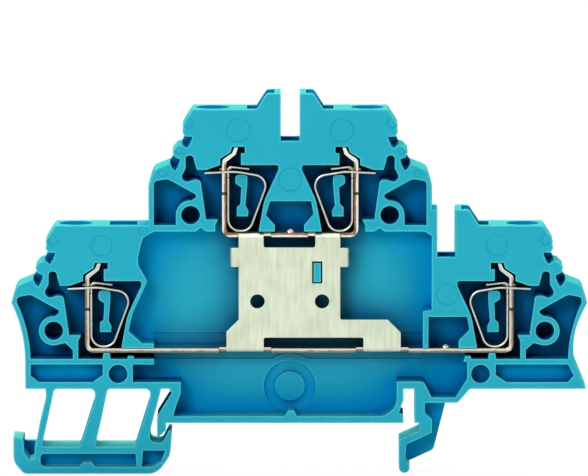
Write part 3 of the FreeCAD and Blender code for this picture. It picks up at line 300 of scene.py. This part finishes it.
def with_painted_ledge_highlight(tree, colour, enclosed, feet):
    """That colour, with a painted highlight on ledges that face upward."""
    open_above = add(
        tree, "MapRange", {"Value": enclosed, "From Min": 0.5, "From Max": 0.7, "To Max": 0.42}
    )
    lit = add(tree, "Math", {0: feet, 1: open_above.outputs["Result"]}, operation="MAXIMUM")
    share = add(tree, "Math", {0: upward_share(tree), 1: lit.outputs[0]}, operation="MULTIPLY")
    paler = add(
        tree, "Mix", {0: share.outputs[0], 6: colour, 7: linear(PAINTED_LEDGE_HIGHLIGHT)}, data_type="RGBA"
    )
    return paler.outputs[2]


def with_painted_edge_highlight(tree, colour, openness):
    """That colour, with a painted highlight on edges in the open."""
    share = add(tree, "Math", {0: edge_share(tree, EDGE_HIGHLIGHT_RADIUS), 1: openness}, operation="MULTIPLY")
    paler = add(
        tree, "Mix", {0: share.outputs[0], 6: colour, 7: linear(PAINTED_EDGE_HIGHLIGHT)}, data_type="RGBA"
    )
    return paler.outputs[2]


def with_painted_neighbour_shade(tree, colour, enclosed, feet):
    """That colour, with painted shade where another piece stands close, except in the feet."""
    touching = add(tree, "AmbientOcclusion", {"Distance": REACH * MM}, samples=12)
    beside = add(tree, "Math", {0: touching.outputs["AO"], 1: enclosed}, operation="DIVIDE")
    shade = add(
        tree, "MapRange", {"Value": beside.outputs[0], "From Min": 0.15, "From Max": 0.92}
    )
    shade = add(tree, "Math", {0: shade.outputs["Result"], 1: feet}, operation="MAXIMUM")
    shades = add(tree, "ValToRGB", {0: shade.outputs[0]})
    set_stops(shades.color_ramp, PAINTED_SHADE_COLOURS)
    darker = add(tree, "VectorMath", {0: colour, 1: shades.outputs[0]}, operation="MULTIPLY")
    return darker.outputs[0]


print("occlusion reaches", REACH, "mm")

# %% [markdown]
# The skin's relief has three parts: the edge radius, the ejector marks and the eroded grain.
# Real eroded grain is a few hundredths of a millimetre wide, which is finer than a pixel, so it is
# drawn a quarter of a millimetre wide.
# A little light enters the plastic, which the subsurface part gives. Its mirror part is a small
# fixed share that fades in the pockets, where a real skin has only dark walls to reflect.

# %% Blue polyamide
ERODED_GRAIN = 0.25
EDGE_RADIUS = 0.12
SHEEN_SHARE = 0.006


def moulded_relief(tree, eroded):
    """A normal with rounded edges, ejector marks and eroded grain."""
    marks = add(
        tree,
        "Bump",
        {
            "Height": ejector_marks(tree),
            "Strength": 1.0,
            "Distance": MARK_DEPTH * MM,
            "Normal": soft_edges(tree, EDGE_RADIUS),
        },
    )
    relief = add(
        tree,
        "Bump",
        {
            "Height": eroded,
            "Strength": 0.12,
            "Distance": 0.02 * MM,
            "Normal": marks.outputs["Normal"],
        },
    )
    return relief.outputs["Normal"]


def moulded_polyamide():
    material, tree, output = new_material("moulded_polyamide")
    enclosed = add(
        tree, "AmbientOcclusion", {"Distance": REACH * MM}, samples=12, only_local=True
    ).outputs["AO"]
    openness = add(
        tree, "MapRange", {"Value": enclosed, "From Min": 0.68, "From Max": 0.97}
    ).outputs["Result"]
    feet = share_in_feet(tree)
    # The base colour carries painted shade by depth and beside neighbours, and painted highlights on
    # ledges and edges.
    colour = painted_depth_shade(tree, enclosed, openness, feet)
    colour = with_painted_ledge_highlight(tree, colour, enclosed, feet)
    colour = with_painted_edge_highlight(tree, colour, openness)
    colour = with_painted_neighbour_shade(tree, colour, enclosed, feet)
    eroded = grain(tree, ERODED_GRAIN, detail=3.0)
    roughness = add(tree, "MapRange", {"Value": eroded, "To Min": 0.34, "To Max": 0.48})
    relief = moulded_relief(tree, eroded)
    body = add(
        tree,
        "BsdfPrincipled",
        {
            "Base Color": colour,
            "Roughness": roughness.outputs["Result"],
            "IOR": 1.53,
            "Specular IOR Level": 0.0,
            "Subsurface Weight": 0.06,
            "Subsurface Radius": [0.1, 0.7, 1.0],
            "Subsurface Scale": 0.4 * MM,
            "Normal": relief,
        },
    )
    sheen = add(
        tree, "BsdfAnisotropic", {"Color": linear("ffffff"), "Roughness": 0.35, "Normal": relief}
    )
    share = add(tree, "Math", {0: openness, 1: SHEEN_SHARE}, operation="MULTIPLY")
    both = add(
        tree, "MixShader", {0: share.outputs[0], 1: body.outputs[0], 2: sheen.outputs[0]}
    )
    tree.links.new(both.outputs[0], output.inputs["Surface"])
    return material


polyamide = moulded_polyamide()
print("made", polyamide.name)

# %% [markdown]
# The bars are punched from tinned copper strip and bent to a U. Tin covers the broad faces.
# A punched edge has two zones: the punch first shears the metal, which leaves a bright band,
# and then tears it, which leaves a rough band of bare brown copper. The bright band lies on the
# outer side of the upper U and on the inner side of the lower one, so they were punched from
# opposite sides. The cut edges all face along Y, so the size of the normal's Y part tells them
# from the tinned faces, and the distance from the U's outer outline tells the two zones apart.
# A dark line of painted shade crosses each post at the step where the post narrows.

# %% Punched edges
ZONE_BORDER = (0.24, 0.36)
ZONE_WANDER, WANDER_LENGTH = 0.14, 0.9
LIP_END, LIP_START = 1.9, 2.6
STRIP_THICKNESS = (0.6, 0.66)
POST_WIDTH = (1.2, 1.4)
# Height and reach of the painted shade line across each post, at its step.
STEP_SHADE_HEIGHT = 6.05
STEP_SHADE_REACH = (0.1, 0.2)


def faces_along_y(tree):
    """One where a surface faces along Y, nought where it faces away from it."""
    facing = add(tree, "SeparateXYZ", {0: add(tree, "NewGeometry").outputs["Normal"]})
    towards_y = add(tree, "Math", {0: facing.outputs["Y"]}, operation="ABSOLUTE")
    cut = add(tree, "MapRange", {"Value": towards_y.outputs[0], "From Min": 0.75, "From Max": 0.95})
    return cut.outputs["Result"]


def distances_on_bar(tree, node_name):
    """How far inside the bar's left, right and lower outline a point lies."""
    low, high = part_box(node_name)
    place = add(tree, "SeparateXYZ", {0: add(tree, "TexCoord").outputs["Object"]})
    from_left = add(tree, "Math", {0: place.outputs["X"], 1: low[0]}, operation="SUBTRACT")
    from_right = add(tree, "Math", {0: high[0], 1: place.outputs["X"]}, operation="SUBTRACT")
    from_below = add(tree, "Math", {0: place.outputs["Z"], 1: low[2]}, operation="SUBTRACT")
    return from_left.outputs[0], from_right.outputs[0], from_below.outputs[0]


def torn_zone(tree, node_name, outer_side):
    """One in the torn zone of a bar's cut edge, on its outer or inner side, below the lip."""
    low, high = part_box(node_name)
    lip = high[2] - low[2]
    from_left, from_right, from_below = distances_on_bar(tree, node_name)
    sides = smallest(tree, [from_left, from_right])
    wander = add(
        tree,
        "MapRange",
        {
            "Value": grain(tree, WANDER_LENGTH),
            "To Min": -ZONE_WANDER * MM,
            "To Max": ZONE_WANDER * MM,
        },
    )
    inset = smallest(tree, [sides, from_below])
    inset = add(tree, "Math", {0: inset, 1: wander.outputs["Result"]}, operation="ADD")
    full, nought = ZONE_BORDER if outer_side else reversed(ZONE_BORDER)
    shares = []
    for distance, one_at, nought_at in (
        (inset.outputs[0], full, nought),
        (from_below, lip / MM - LIP_START, lip / MM - LIP_END),
        (from_below, STRIP_THICKNESS[0], STRIP_THICKNESS[1]),
        (sides, POST_WIDTH[0], POST_WIDTH[1]),
    ):
        limits = {"From Min": nought_at * MM, "From Max": one_at * MM}
        shares.append(add(tree, "MapRange", {"Value": distance, **limits}).outputs["Result"])
    torn, below_lip, on_strip, on_post = shares
    outline = add(tree, "Math", {0: on_strip, 1: on_post}, operation="MAXIMUM")
    return smallest(tree, [torn, below_lip, outline.outputs[0]])


def step_shade_line(tree, node_name):
    """One on the line across each post, at its step, where shade is painted."""
    from_below = distances_on_bar(tree, node_name)[2]
    off = add(tree, "Math", {0: from_below, 1: STEP_SHADE_HEIGHT * MM}, operation="SUBTRACT")
    off = add(tree, "Math", {0: off.outputs[0]}, operation="ABSOLUTE")
    limits = {"From Min": STEP_SHADE_REACH[1] * MM, "From Max": STEP_SHADE_REACH[0] * MM}
    return add(tree, "MapRange", {"Value": off.outputs[0], **limits}).outputs["Result"]


# %% [markdown]
# Both metals are rolled strip, so both have fine lines along the strip, which a stretched noise
# gives to roughness and bump. Real rolling lines are finer than a pixel, so they are drawn wider.
# The torn zone is duller than the tin, and its brown is uneven.
# The strip's edges are painted dark, a painted reflection of the dark pocket behind them.

# %% Punched strip
LINE_STRETCH = 0.12
STAIN_SIZE = 0.8
DARK_EDGE_WIDTH = 0.6
# The colour of the painted shade line on the posts, then that of the painted dark edges.
STEP_SHADE_COLOUR = "2a1408"
PAINTED_DARK_EDGE_COLOUR = "241c14"
TORN_DULLER = 0.12


def strip_colour(tree, skin, torn_colours, is_cut, edge_mm, bar, outer_side):
    """The strip's colour, with painted shade and painted dark edges, and where its cut edge is torn and
    dull.
    """
    dull, step_shade = is_cut, 0.0
    if bar:
        dull = smallest(tree, [is_cut, torn_zone(tree, bar, outer_side)])
        # Painted shade: a dark line across each post at its step.
        step_shade = smallest(tree, [is_cut, step_shade_line(tree, bar)])
    torn = add(
        tree,
        "Mix",
        {0: grain(tree, STAIN_SIZE, detail=4.0), 6: linear(torn_colours[0]), 7: linear(torn_colours[1])},
        data_type="RGBA",
    )
    clean = add(tree, "Mix", {0: dull, 6: linear(skin), 7: torn.outputs[2]}, data_type="RGBA")
    step_shaded = add(
        tree, "Mix", {0: step_shade, 6: clean.outputs[2], 7: linear(STEP_SHADE_COLOUR)}, data_type="RGBA"
    )
    # Painted reflection: the strip's edges are painted dark.
    colour = add(
        tree,
        "Mix",
        {0: edge_share(tree, DARK_EDGE_WIDTH * edge_mm), 6: step_shaded.outputs[2], 7: linear(PAINTED_DARK_EDGE_COLOUR)},
        data_type="RGBA",
    )
    return colour.outputs[2], dull


def punched_strip(name, skin, torn_colours, roughness, lines_mm, edge_mm, bar=None, outer_side=False):
    """A rolled metal strip whose punched edges, which face along Y, have their own colours."""
    material, tree, output = new_material(name)
    stretch = add(
        tree,
        "Mapping",
        {
            "Vector": add(tree, "TexCoord").outputs["Object"],
            "Scale": [LINE_STRETCH, 1.0, LINE_STRETCH],
        },
    )
    lines = add(
        tree,
        "TexNoise",
        {"Vector": stretch.outputs[0], "Scale": 1 / (lines_mm * MM), "Detail": 3.0},
    ).outputs["Fac"]
    is_cut = faces_along_y(tree)
    colour, dull = strip_colour(tree, skin, torn_colours, is_cut, edge_mm, bar, outer_side)
    polish = add(
        tree, "MapRange", {"Value": lines, "To Min": roughness[0], "To Max": roughness[1]}
    )
    rough = add(
        tree,
        "Math",
        {0: dull, 1: TORN_DULLER, 2: polish.outputs["Result"]},
        operation="MULTIPLY_ADD",
    )
    bump = add(
        tree,
        "Bump",
        {
            "Height": lines,
            "Strength": 0.15,
            "Distance": 0.01 * MM,
            "Normal": soft_edges(tree, edge_mm),
        },
    )
    shader = add(
        tree,
        "BsdfPrincipled",
        {
            "Base Color": colour,
            "Metallic": 1.0,
            "Roughness": rough.outputs[0],
            "Normal": bump.outputs["Normal"],
        },
    )
    tree.links.new(shader.outputs[0], output.inputs["Surface"])
    return material


tin_surface = {"roughness": (0.14, 0.3), "lines_mm": 0.2, "edge_mm": 0.16}
tinned_upper = punched_strip(
    "tinned_upper", "ece8dc", ("4e3226", "b08868"), **tin_surface, bar="upper_bar"
)
tinned_lower = punched_strip(
    "tinned_lower", "d6d2c4", ("54463a", "a89684"), **tin_surface, bar="lower_bar", outer_side=True
)
rolled_spring = punched_strip(
    "rolled_spring_steel",
    "b4b8b0",
    ("a8aca2", "e4e8dc"),
    roughness=(0.12, 0.22),
    lines_mm=0.15,
    edge_mm=0.3,
)
print("made", tinned_upper.name, tinned_lower.name, rolled_spring.name)

# %% [markdown]
# The link between the levels is a flat plate with a matt tin coat. Its broad face turns to the
# viewer, so no punched edge needs a colour of its own here.
# Matt tin has a pale, slightly yellow grey and scatters light widely. Faint upright rolling lines
# and soft clouds in the coat give it its streaks.

# %% Matt tin
TIN_COLOURS = ("b9c4ab", "d6decb")
TIN_LINES, TIN_CLOUDS = 0.35, 3.0
TIN_LINE_STRETCH = 0.1


def matt_tin():
    material, tree, output = new_material("matt_tin")
    stretch = add(
        tree,
        "Mapping",
        {"Vector": add(tree, "TexCoord").outputs["Object"], "Scale": [1.0, 1.0, TIN_LINE_STRETCH]},
    )
    lines = add(
        tree,
        "TexNoise",
        {"Vector": stretch.outputs[0], "Scale": 1 / (TIN_LINES * MM), "Detail": 4.0},
    ).outputs["Fac"]
    streaks = add(tree, "Math", {0: grain(tree, TIN_CLOUDS), 1: lines}, operation="ADD")
    wear = add(tree, "MapRange", {"Value": streaks.outputs[0], "From Min": 0.6, "From Max": 1.4})
    colour = add(
        tree,
        "Mix",
        {0: wear.outputs["Result"], 6: linear(TIN_COLOURS[0]), 7: linear(TIN_COLOURS[1])},
        data_type="RGBA",
    )
    polish = add(tree, "MapRange", {"Value": lines, "To Min": 0.34, "To Max": 0.5})
    bump = add(
        tree,
        "Bump",
        {
            "Height": lines,
            "Strength": 0.1,
            "Distance": 0.01 * MM,
            "Normal": soft_edges(tree, 0.08),
        },
    )
    shader = add(
        tree,
        "BsdfPrincipled",
        {
            "Base Color": colour.outputs[2],
            "Metallic": 1.0,
            "Roughness": polish.outputs["Result"],
            "Normal": bump.outputs["Normal"],
        },
    )
    tree.links.new(shader.outputs[0], output.inputs["Surface"])
    return material


link_tin = matt_tin()
print("made", link_tin.name)

# %% [markdown]
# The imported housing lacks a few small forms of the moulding, so a finer copy stands for it:
# two notches at the roots of the teeth in each tower, a low notch beside the lip of the left foot,
# a hump on the bottom wall, a rounded groove in the back wall, and raised floors in the pockets
# of the wings and of the foot, which keep the walls there stiff.
# Each form is an outline, written as X and Z, that is pushed through part of the depth.
# The notches are drawn once, for the upper left clamp, and moved or mirrored to the other three.

# %% Outlines of the fine forms
BACK_WALL = 1.55
POCKET_DEPTH = 2.2
UPPER_TOOTH_NOTCH = [
    (-15.6, 40.0), (-15.05, 40.15), (-13.81, 40.1), (-13.9, 39.6),
    (-14.25, 38.8), (-14.57, 38.5), (-15.19, 38.96), (-15.6, 39.4),
]
LOWER_TOOTH_NOTCH = [
    (-16.9, 37.3), (-16.3, 37.3), (-15.51, 36.94), (-15.56, 36.5),
    (-15.85, 35.8), (-16.16, 35.35), (-16.57, 35.65), (-16.95, 36.5),
]
HUMP = [(-1.3, 0.6), (-0.85, 1.3), (-0.6, 1.75), (0.15, 1.75), (0.4, 1.35), (0.75, 0.6)]
FOOT_NOTCH = [(-37.27, -1.5), (-35.15, -1.0), (-35.45, -2.3), (-35.62, -3.2), (-37.27, -3.2)]
LEFT_WING = [(-26.1, 8.4), (-36.4, 8.4), (-36.4, 6.6), (-35.2, 5.6), (-27.6, 5.6), (-26.1, 6.7)]
RIGHT_WING = [(28.0, 8.4), (38.3, 8.4), (39.1, 6.6), (38.3, 5.6), (29.5, 5.6), (28.0, 6.7)]
FOOT_BEAM = [(-35.1, -4.2), (-21.6, -4.2), (-21.4, -6.35), (-35.1, -6.35)]
HEEL = [(-20.9, -3.75), (-17.5, -3.75), (-18.3, -5.75), (-19.45, -6.35), (-21.1, -6.35)]
WING_BORE_MIDDLES = [(-24.16, 6.9), (26.04, 6.9)]
WING_BORE_RADIUS = 1.45
UPPER_LEFT_TO_LOWER_LEFT = (-18.97, -16.2)
UPPER_MIRROR_SUM, LOWER_MIRROR_SUM = -0.64, 20.85


def circle(middle, radius, corners=24):
    """The corners of a circle, as X and Z."""
    turns = [2 * math.pi * i / corners for i in range(corners)]
    return [(middle[0] + radius * math.cos(t), middle[1] + radius * math.sin(t)) for t in turns]


def for_each_clamp(outline):
    """The outline at the upper left clamp, and at the other three."""
    right, up = UPPER_LEFT_TO_LOWER_LEFT
    lower_left = [(x + right, z + up) for x, z in outline]
    upper_right = [(UPPER_MIRROR_SUM - x, z) for x, z in outline]
    lower_right = [(LOWER_MIRROR_SUM - x, z + up) for x, z in outline]
    return [outline, lower_left, upper_right, lower_right]


tooth_notches = for_each_clamp(UPPER_TOOTH_NOTCH) + for_each_clamp(LOWER_TOOTH_NOTCH)
raised_floors = [LEFT_WING, RIGHT_WING, FOOT_BEAM, HEEL]
raised_floors += [circle(middle, WING_BORE_RADIUS) for middle in WING_BORE_MIDDLES]
print("tooth notches:", len(tooth_notches), "raised floors:", len(raised_floors))

# %% [markdown]
# Every form that is cut or joined starts as a closed solid of its own. An outline is extruded
# along the depth. The groove is a ring instead: an ellipse is spun once round the groove's middle.

# %% Solids that cut and fill
GROOVE_MIDDLE = (-0.37, 4.48)
GROOVE_RADIUS, GROOVE_HALF_WIDTH, GROOVE_DEPTH = 2.83, 0.78, 0.55
GROOVE_STEPS, GROOVE_SECTION = 64, 16


def new_object(name, shape):
    """An object at the origin whose mesh is this bmesh, which is used up."""
    mesh = bpy.data.meshes.new(name)
    shape.to_mesh(mesh)
    shape.free()
    made = bpy.data.objects.new(name, mesh)
    bpy.context.scene.collection.objects.link(made)
    return made


def prisms(name, outlines, start, stop):
    """One object with a closed prism for each outline, between two depths in millimetres."""
    shape = bmesh.new()
    for outline in outlines:
        face = shape.faces.new([shape.verts.new((x * MM, start * MM, z * MM)) for x, z in outline])
        grown = bmesh.ops.extrude_face_region(shape, geom=[face])
        moved = [part for part in grown["geom"] if isinstance(part, bmesh.types.BMVert)]
        bmesh.ops.translate(shape, verts=moved, vec=(0, (stop - start) * MM, 0))
    bmesh.ops.recalc_face_normals(shape, faces=shape.faces)
    return new_object(name, shape)


def groove_ring():
    """A ring of elliptic section, with its middle line on the back wall."""
    shape = bmesh.new()
    x, z = GROOVE_MIDDLE
    bmesh.ops.create_circle(shape, segments=GROOVE_SECTION, radius=MM)
    bmesh.ops.scale(shape, verts=shape.verts, vec=(GROOVE_HALF_WIDTH, GROOVE_DEPTH, 1.0))
    place = ((x + GROOVE_RADIUS) * MM, BACK_WALL * MM, z * MM)
    bmesh.ops.translate(shape, verts=shape.verts, vec=place)
    bmesh.ops.spin(
        shape,
        geom=shape.verts[:] + shape.edges[:],
        cent=(x * MM, 0, z * MM),
        axis=(0, 1, 0),
        angle=2 * math.pi,
        steps=GROOVE_STEPS,
        use_merge=True,
    )
    bmesh.ops.recalc_face_normals(shape, faces=shape.faces)
    return new_object("groove_tool", shape)


print("groove outer radius in mm:", round(GROOVE_RADIUS + GROOVE_HALF_WIDTH, 2))

# %% [markdown]
# A boolean modifier takes one closed shape from another, or joins them. It needs meshes without
# doubled corners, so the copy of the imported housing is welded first. The result is frozen into a
# mesh of its own. Its faces are shaded flat, because a moulding like this is made of plane walls,
# and the rounded shading of its edges comes from the material.

# %% The finer housing
PAST_FACE = 0.5
INTO_WALL = 0.1
WELD_DISTANCE = 0.001
DISH_MIDDLE, DISH_FILL_RADIUS, DISH_FILL_DEPTH = (-0.37, 5.33), 3.8, 0.4


def welded_copy(node, name):
    """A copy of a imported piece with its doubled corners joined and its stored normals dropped."""
    shape = bmesh.new()
    shape.from_mesh(node.data)
    bmesh.ops.remove_doubles(shape, verts=shape.verts, dist=WELD_DISTANCE * MM)
    return new_object(name, shape)


def freeze(piece):
    """Turns the modifiers' result into the piece's own mesh."""
    ready = piece.evaluated_get(bpy.context.evaluated_depsgraph_get())
    mesh = bpy.data.meshes.new_from_object(ready)
    piece.modifiers.clear()
    piece.data = mesh


def make_moulding():
    moulding = welded_copy(nodes["housing"], "moulded_housing")
    outside = FRONT - PAST_FACE
    inside_wall = BACK_WALL + INTO_WALL
    dish = circle(DISH_MIDDLE, DISH_FILL_RADIUS, 48)
    tools = [
        (prisms("tooth_tool", tooth_notches, outside, BACK_WALL), "DIFFERENCE"),
        (prisms("foot_tool", [FOOT_NOTCH], outside, -outside), "DIFFERENCE"),
        (prisms("floor_fill", raised_floors, FRONT + POCKET_DEPTH, inside_wall), "UNION"),
        (prisms("hump", [HUMP], FRONT, inside_wall), "UNION"),
        (prisms("dish_fill", [dish], BACK_WALL, BACK_WALL + DISH_FILL_DEPTH), "UNION"),
        (groove_ring(), "DIFFERENCE"),
    ]
    for tool, operation in tools:
        step = moulding.modifiers.new(tool.name, "BOOLEAN")
        step.operation = operation
        step.solver = "EXACT"
        step.object = tool
    freeze(moulding)
    for tool, operation in tools:
        bpy.data.objects.remove(tool)
    moulding.data.shade_flat()
    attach(moulding, "root")
    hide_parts("housing")
    return moulding


def closed_volume(piece):
    """Volume in cubic millimetres, and how many edges don't join exactly two faces."""
    shape = bmesh.new()
    shape.from_mesh(piece.data)
    loose = sum(len(edge.link_faces) != 2 for edge in shape.edges)
    volume = shape.calc_volume() / MM**3
    shape.free()
    return round(volume, 1), loose


moulding = make_moulding()
print("volume in cubic mm and loose edges:", closed_volume(moulding))

# %% [markdown]
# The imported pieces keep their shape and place. Only their material slots change here,
# and the finer housing gets the polyamide.

# %% Dress the pieces
FINISHES = {
    "housing": polyamide,
    "upper_bar": tinned_upper,
    "lower_bar": tinned_lower,
    "link_plate": link_tin,
}


def dress(piece, finish):
    piece.data.materials.clear()
    piece.data.materials.append(finish)


for name, node in nodes.items():
    finish = FINISHES.get(name, rolled_spring)
    dress(node, finish)
    print(name, "->", finish.name)
dress(moulding, polyamide)

# %% [markdown]
# The photograph looks at the open side from a little above, through a long lens.
# The camera's place follows from three facts: where its middle ray meets the front of the housing,
# how many millimetres one pixel covers there, and how far away a camera of that lens stands.

# %% Camera
IMAGE_WIDTH, IMAGE_HEIGHT = 588, 476
MM_PER_PIXEL = 0.1381
RAIL_MIDDLE_PIXEL = 292.5
RAIL_TOP_PIXEL = 423.7
ELEVATION = math.radians(9.0)
DISTANCE = 1.1

aim = Vector((
    (IMAGE_WIDTH / 2 - RAIL_MIDDLE_PIXEL) * MM_PER_PIXEL * MM,
    FRONT * MM,
    (RAIL_TOP_PIXEL - IMAGE_HEIGHT / 2) * MM_PER_PIXEL * MM / math.cos(ELEVATION),
))
lens = bpy.data.cameras.new("camera")
camera = bpy.data.objects.new("camera", lens)
bpy.context.scene.collection.objects.link(camera)
bpy.context.scene.camera = camera
back_way = Vector((0.0, -math.cos(ELEVATION), math.sin(ELEVATION)))
camera.location = aim + back_way * DISTANCE
camera.rotation_euler = (-back_way).to_track_quat("-Z", "Y").to_euler()
lens.sensor_width = 36.0
lens.lens = lens.sensor_width * DISTANCE / (IMAGE_WIDTH * MM_PER_PIXEL * MM)
lens.clip_start = 0.05
lens.clip_end = 20.0
print("lens in mm:", round(lens.lens), "aim in mm:", [round(v * 1000, 2) for v in aim])

# %% [markdown]
# The block stands on a plain pale floor at the level of its feet, which keeps its shadow.
# For the camera and for reflections part of the floor's light is a plain white, so that the
# floor runs into the white background without a line.

# %% Floor
FLOOR_WHITE_SHARE = 0.93
FLOOR_HALF_SIZE = 6.0


def pale_floor_finish():
    material, tree, output = new_material("pale_floor")
    path = add(tree, "LightPath").outputs
    seen = add(
        tree, "Math", {0: path["Is Camera Ray"], 1: path["Is Glossy Ray"]}, operation="MAXIMUM"
    )
    seen = add(
        tree, "Math", {0: seen.outputs[0], 1: path["Is Transmission Ray"]}, operation="MAXIMUM"
    )
    share = add(tree, "Math", {0: seen.outputs[0], 1: FLOOR_WHITE_SHARE}, operation="MULTIPLY")
    matt = add(tree, "BsdfDiffuse", {"Color": linear("f4f4f2")})
    white = add(tree, "Emission", {"Color": linear("ffffff"), "Strength": 1.0})
    both = add(tree, "MixShader", {0: share.outputs[0], 1: matt.outputs[0], 2: white.outputs[0]})
    tree.links.new(both.outputs[0], output.inputs["Surface"])
    return material


def make_floor():
    shape = bmesh.new()
    bmesh.ops.create_grid(shape, x_segments=1, y_segments=1, size=FLOOR_HALF_SIZE)
    bmesh.ops.translate(shape, verts=shape.verts, vec=(0, 0, cad_box[0].z))
    floor = new_object("floor", shape)
    floor.data.materials.append(pale_floor_finish())


make_floor()
print("floor at mm:", round(cad_box[0].z * 1000, 2))

# %% [markdown]
# Product photographs of such blocks are lit by one large soft box above and in front,
# with a weaker one at the side and white walls all round. The world stands for the walls:
# it is plain white for the camera and in reflections, and dimmer as a lamp.
# As a lamp it is brighter behind the block, where the white table runs on, and that light
# reaches the ledges and the sills of the windows through the moulding.

# %% World and lamps
WALL_LIGHT_IN_FRONT, WALL_LIGHT_BEHIND = 0.22, 2.2


def make_world():
    world = bpy.data.worlds.new("studio")
    world.use_nodes = True
    tree = world.node_tree
    tree.nodes.clear()
    output = add(tree, "OutputWorld")
    path = add(tree, "LightPath").outputs
    seen = add(
        tree,
        "Math",
        {0: path["Is Camera Ray"], 1: path["Is Transmission Ray"]},
        operation="MAXIMUM",
    )
    seen = add(tree, "Math", {0: seen.outputs[0], 1: path["Is Glossy Ray"]}, operation="MAXIMUM")
    direction = add(tree, "SeparateXYZ", {0: add(tree, "TexCoord").outputs["Generated"]})
    behind = add(
        tree,
        "MapRange",
        {
            "Value": direction.outputs["Y"],
            "From Max": 0.7,
            "To Min": WALL_LIGHT_IN_FRONT,
            "To Max": WALL_LIGHT_BEHIND,
        },
        interpolation_type="SMOOTHSTEP",
    )
    walls = add(
        tree, "Background", {"Color": linear("fffce0"), "Strength": behind.outputs["Result"]}
    )
    white = add(tree, "Background", {"Color": linear("ffffff"), "Strength": 1.0})
    both = add(tree, "MixShader", {0: seen.outputs[0], 1: walls.outputs[0], 2: white.outputs[0]})
    tree.links.new(both.outputs[0], output.inputs["Surface"])
    bpy.context.scene.world = world


def soft_box(name, place, size, watts, tint="ffffff"):
    """A square area lamp that points at the middle of the block."""
    lamp = bpy.data.lights.new(name, "AREA")
    lamp.size = size
    lamp.energy = watts
    lamp.color = linear(tint)[:3]
    holder = bpy.data.objects.new(name, lamp)
    holder.location = place
    middle = (cad_box[0] + cad_box[1]) / 2
    holder.rotation_euler = (Vector(place) - middle).to_track_quat("Z", "Y").to_euler()
    bpy.context.scene.collection.objects.link(holder)


bpy.context.scene.view_settings.view_transform = "Standard"
make_world()
soft_box("key", (-0.4, -0.95, 0.5), 0.35, 5.9)
soft_box("top", (-0.05, 0.1, 0.8), 0.5, 7.0, "f0ffc8")
soft_box("fill", (0.7, -0.8, 0.25), 0.5, 1.0)
print("lamps: key from the upper left, top from above, fill from the right")
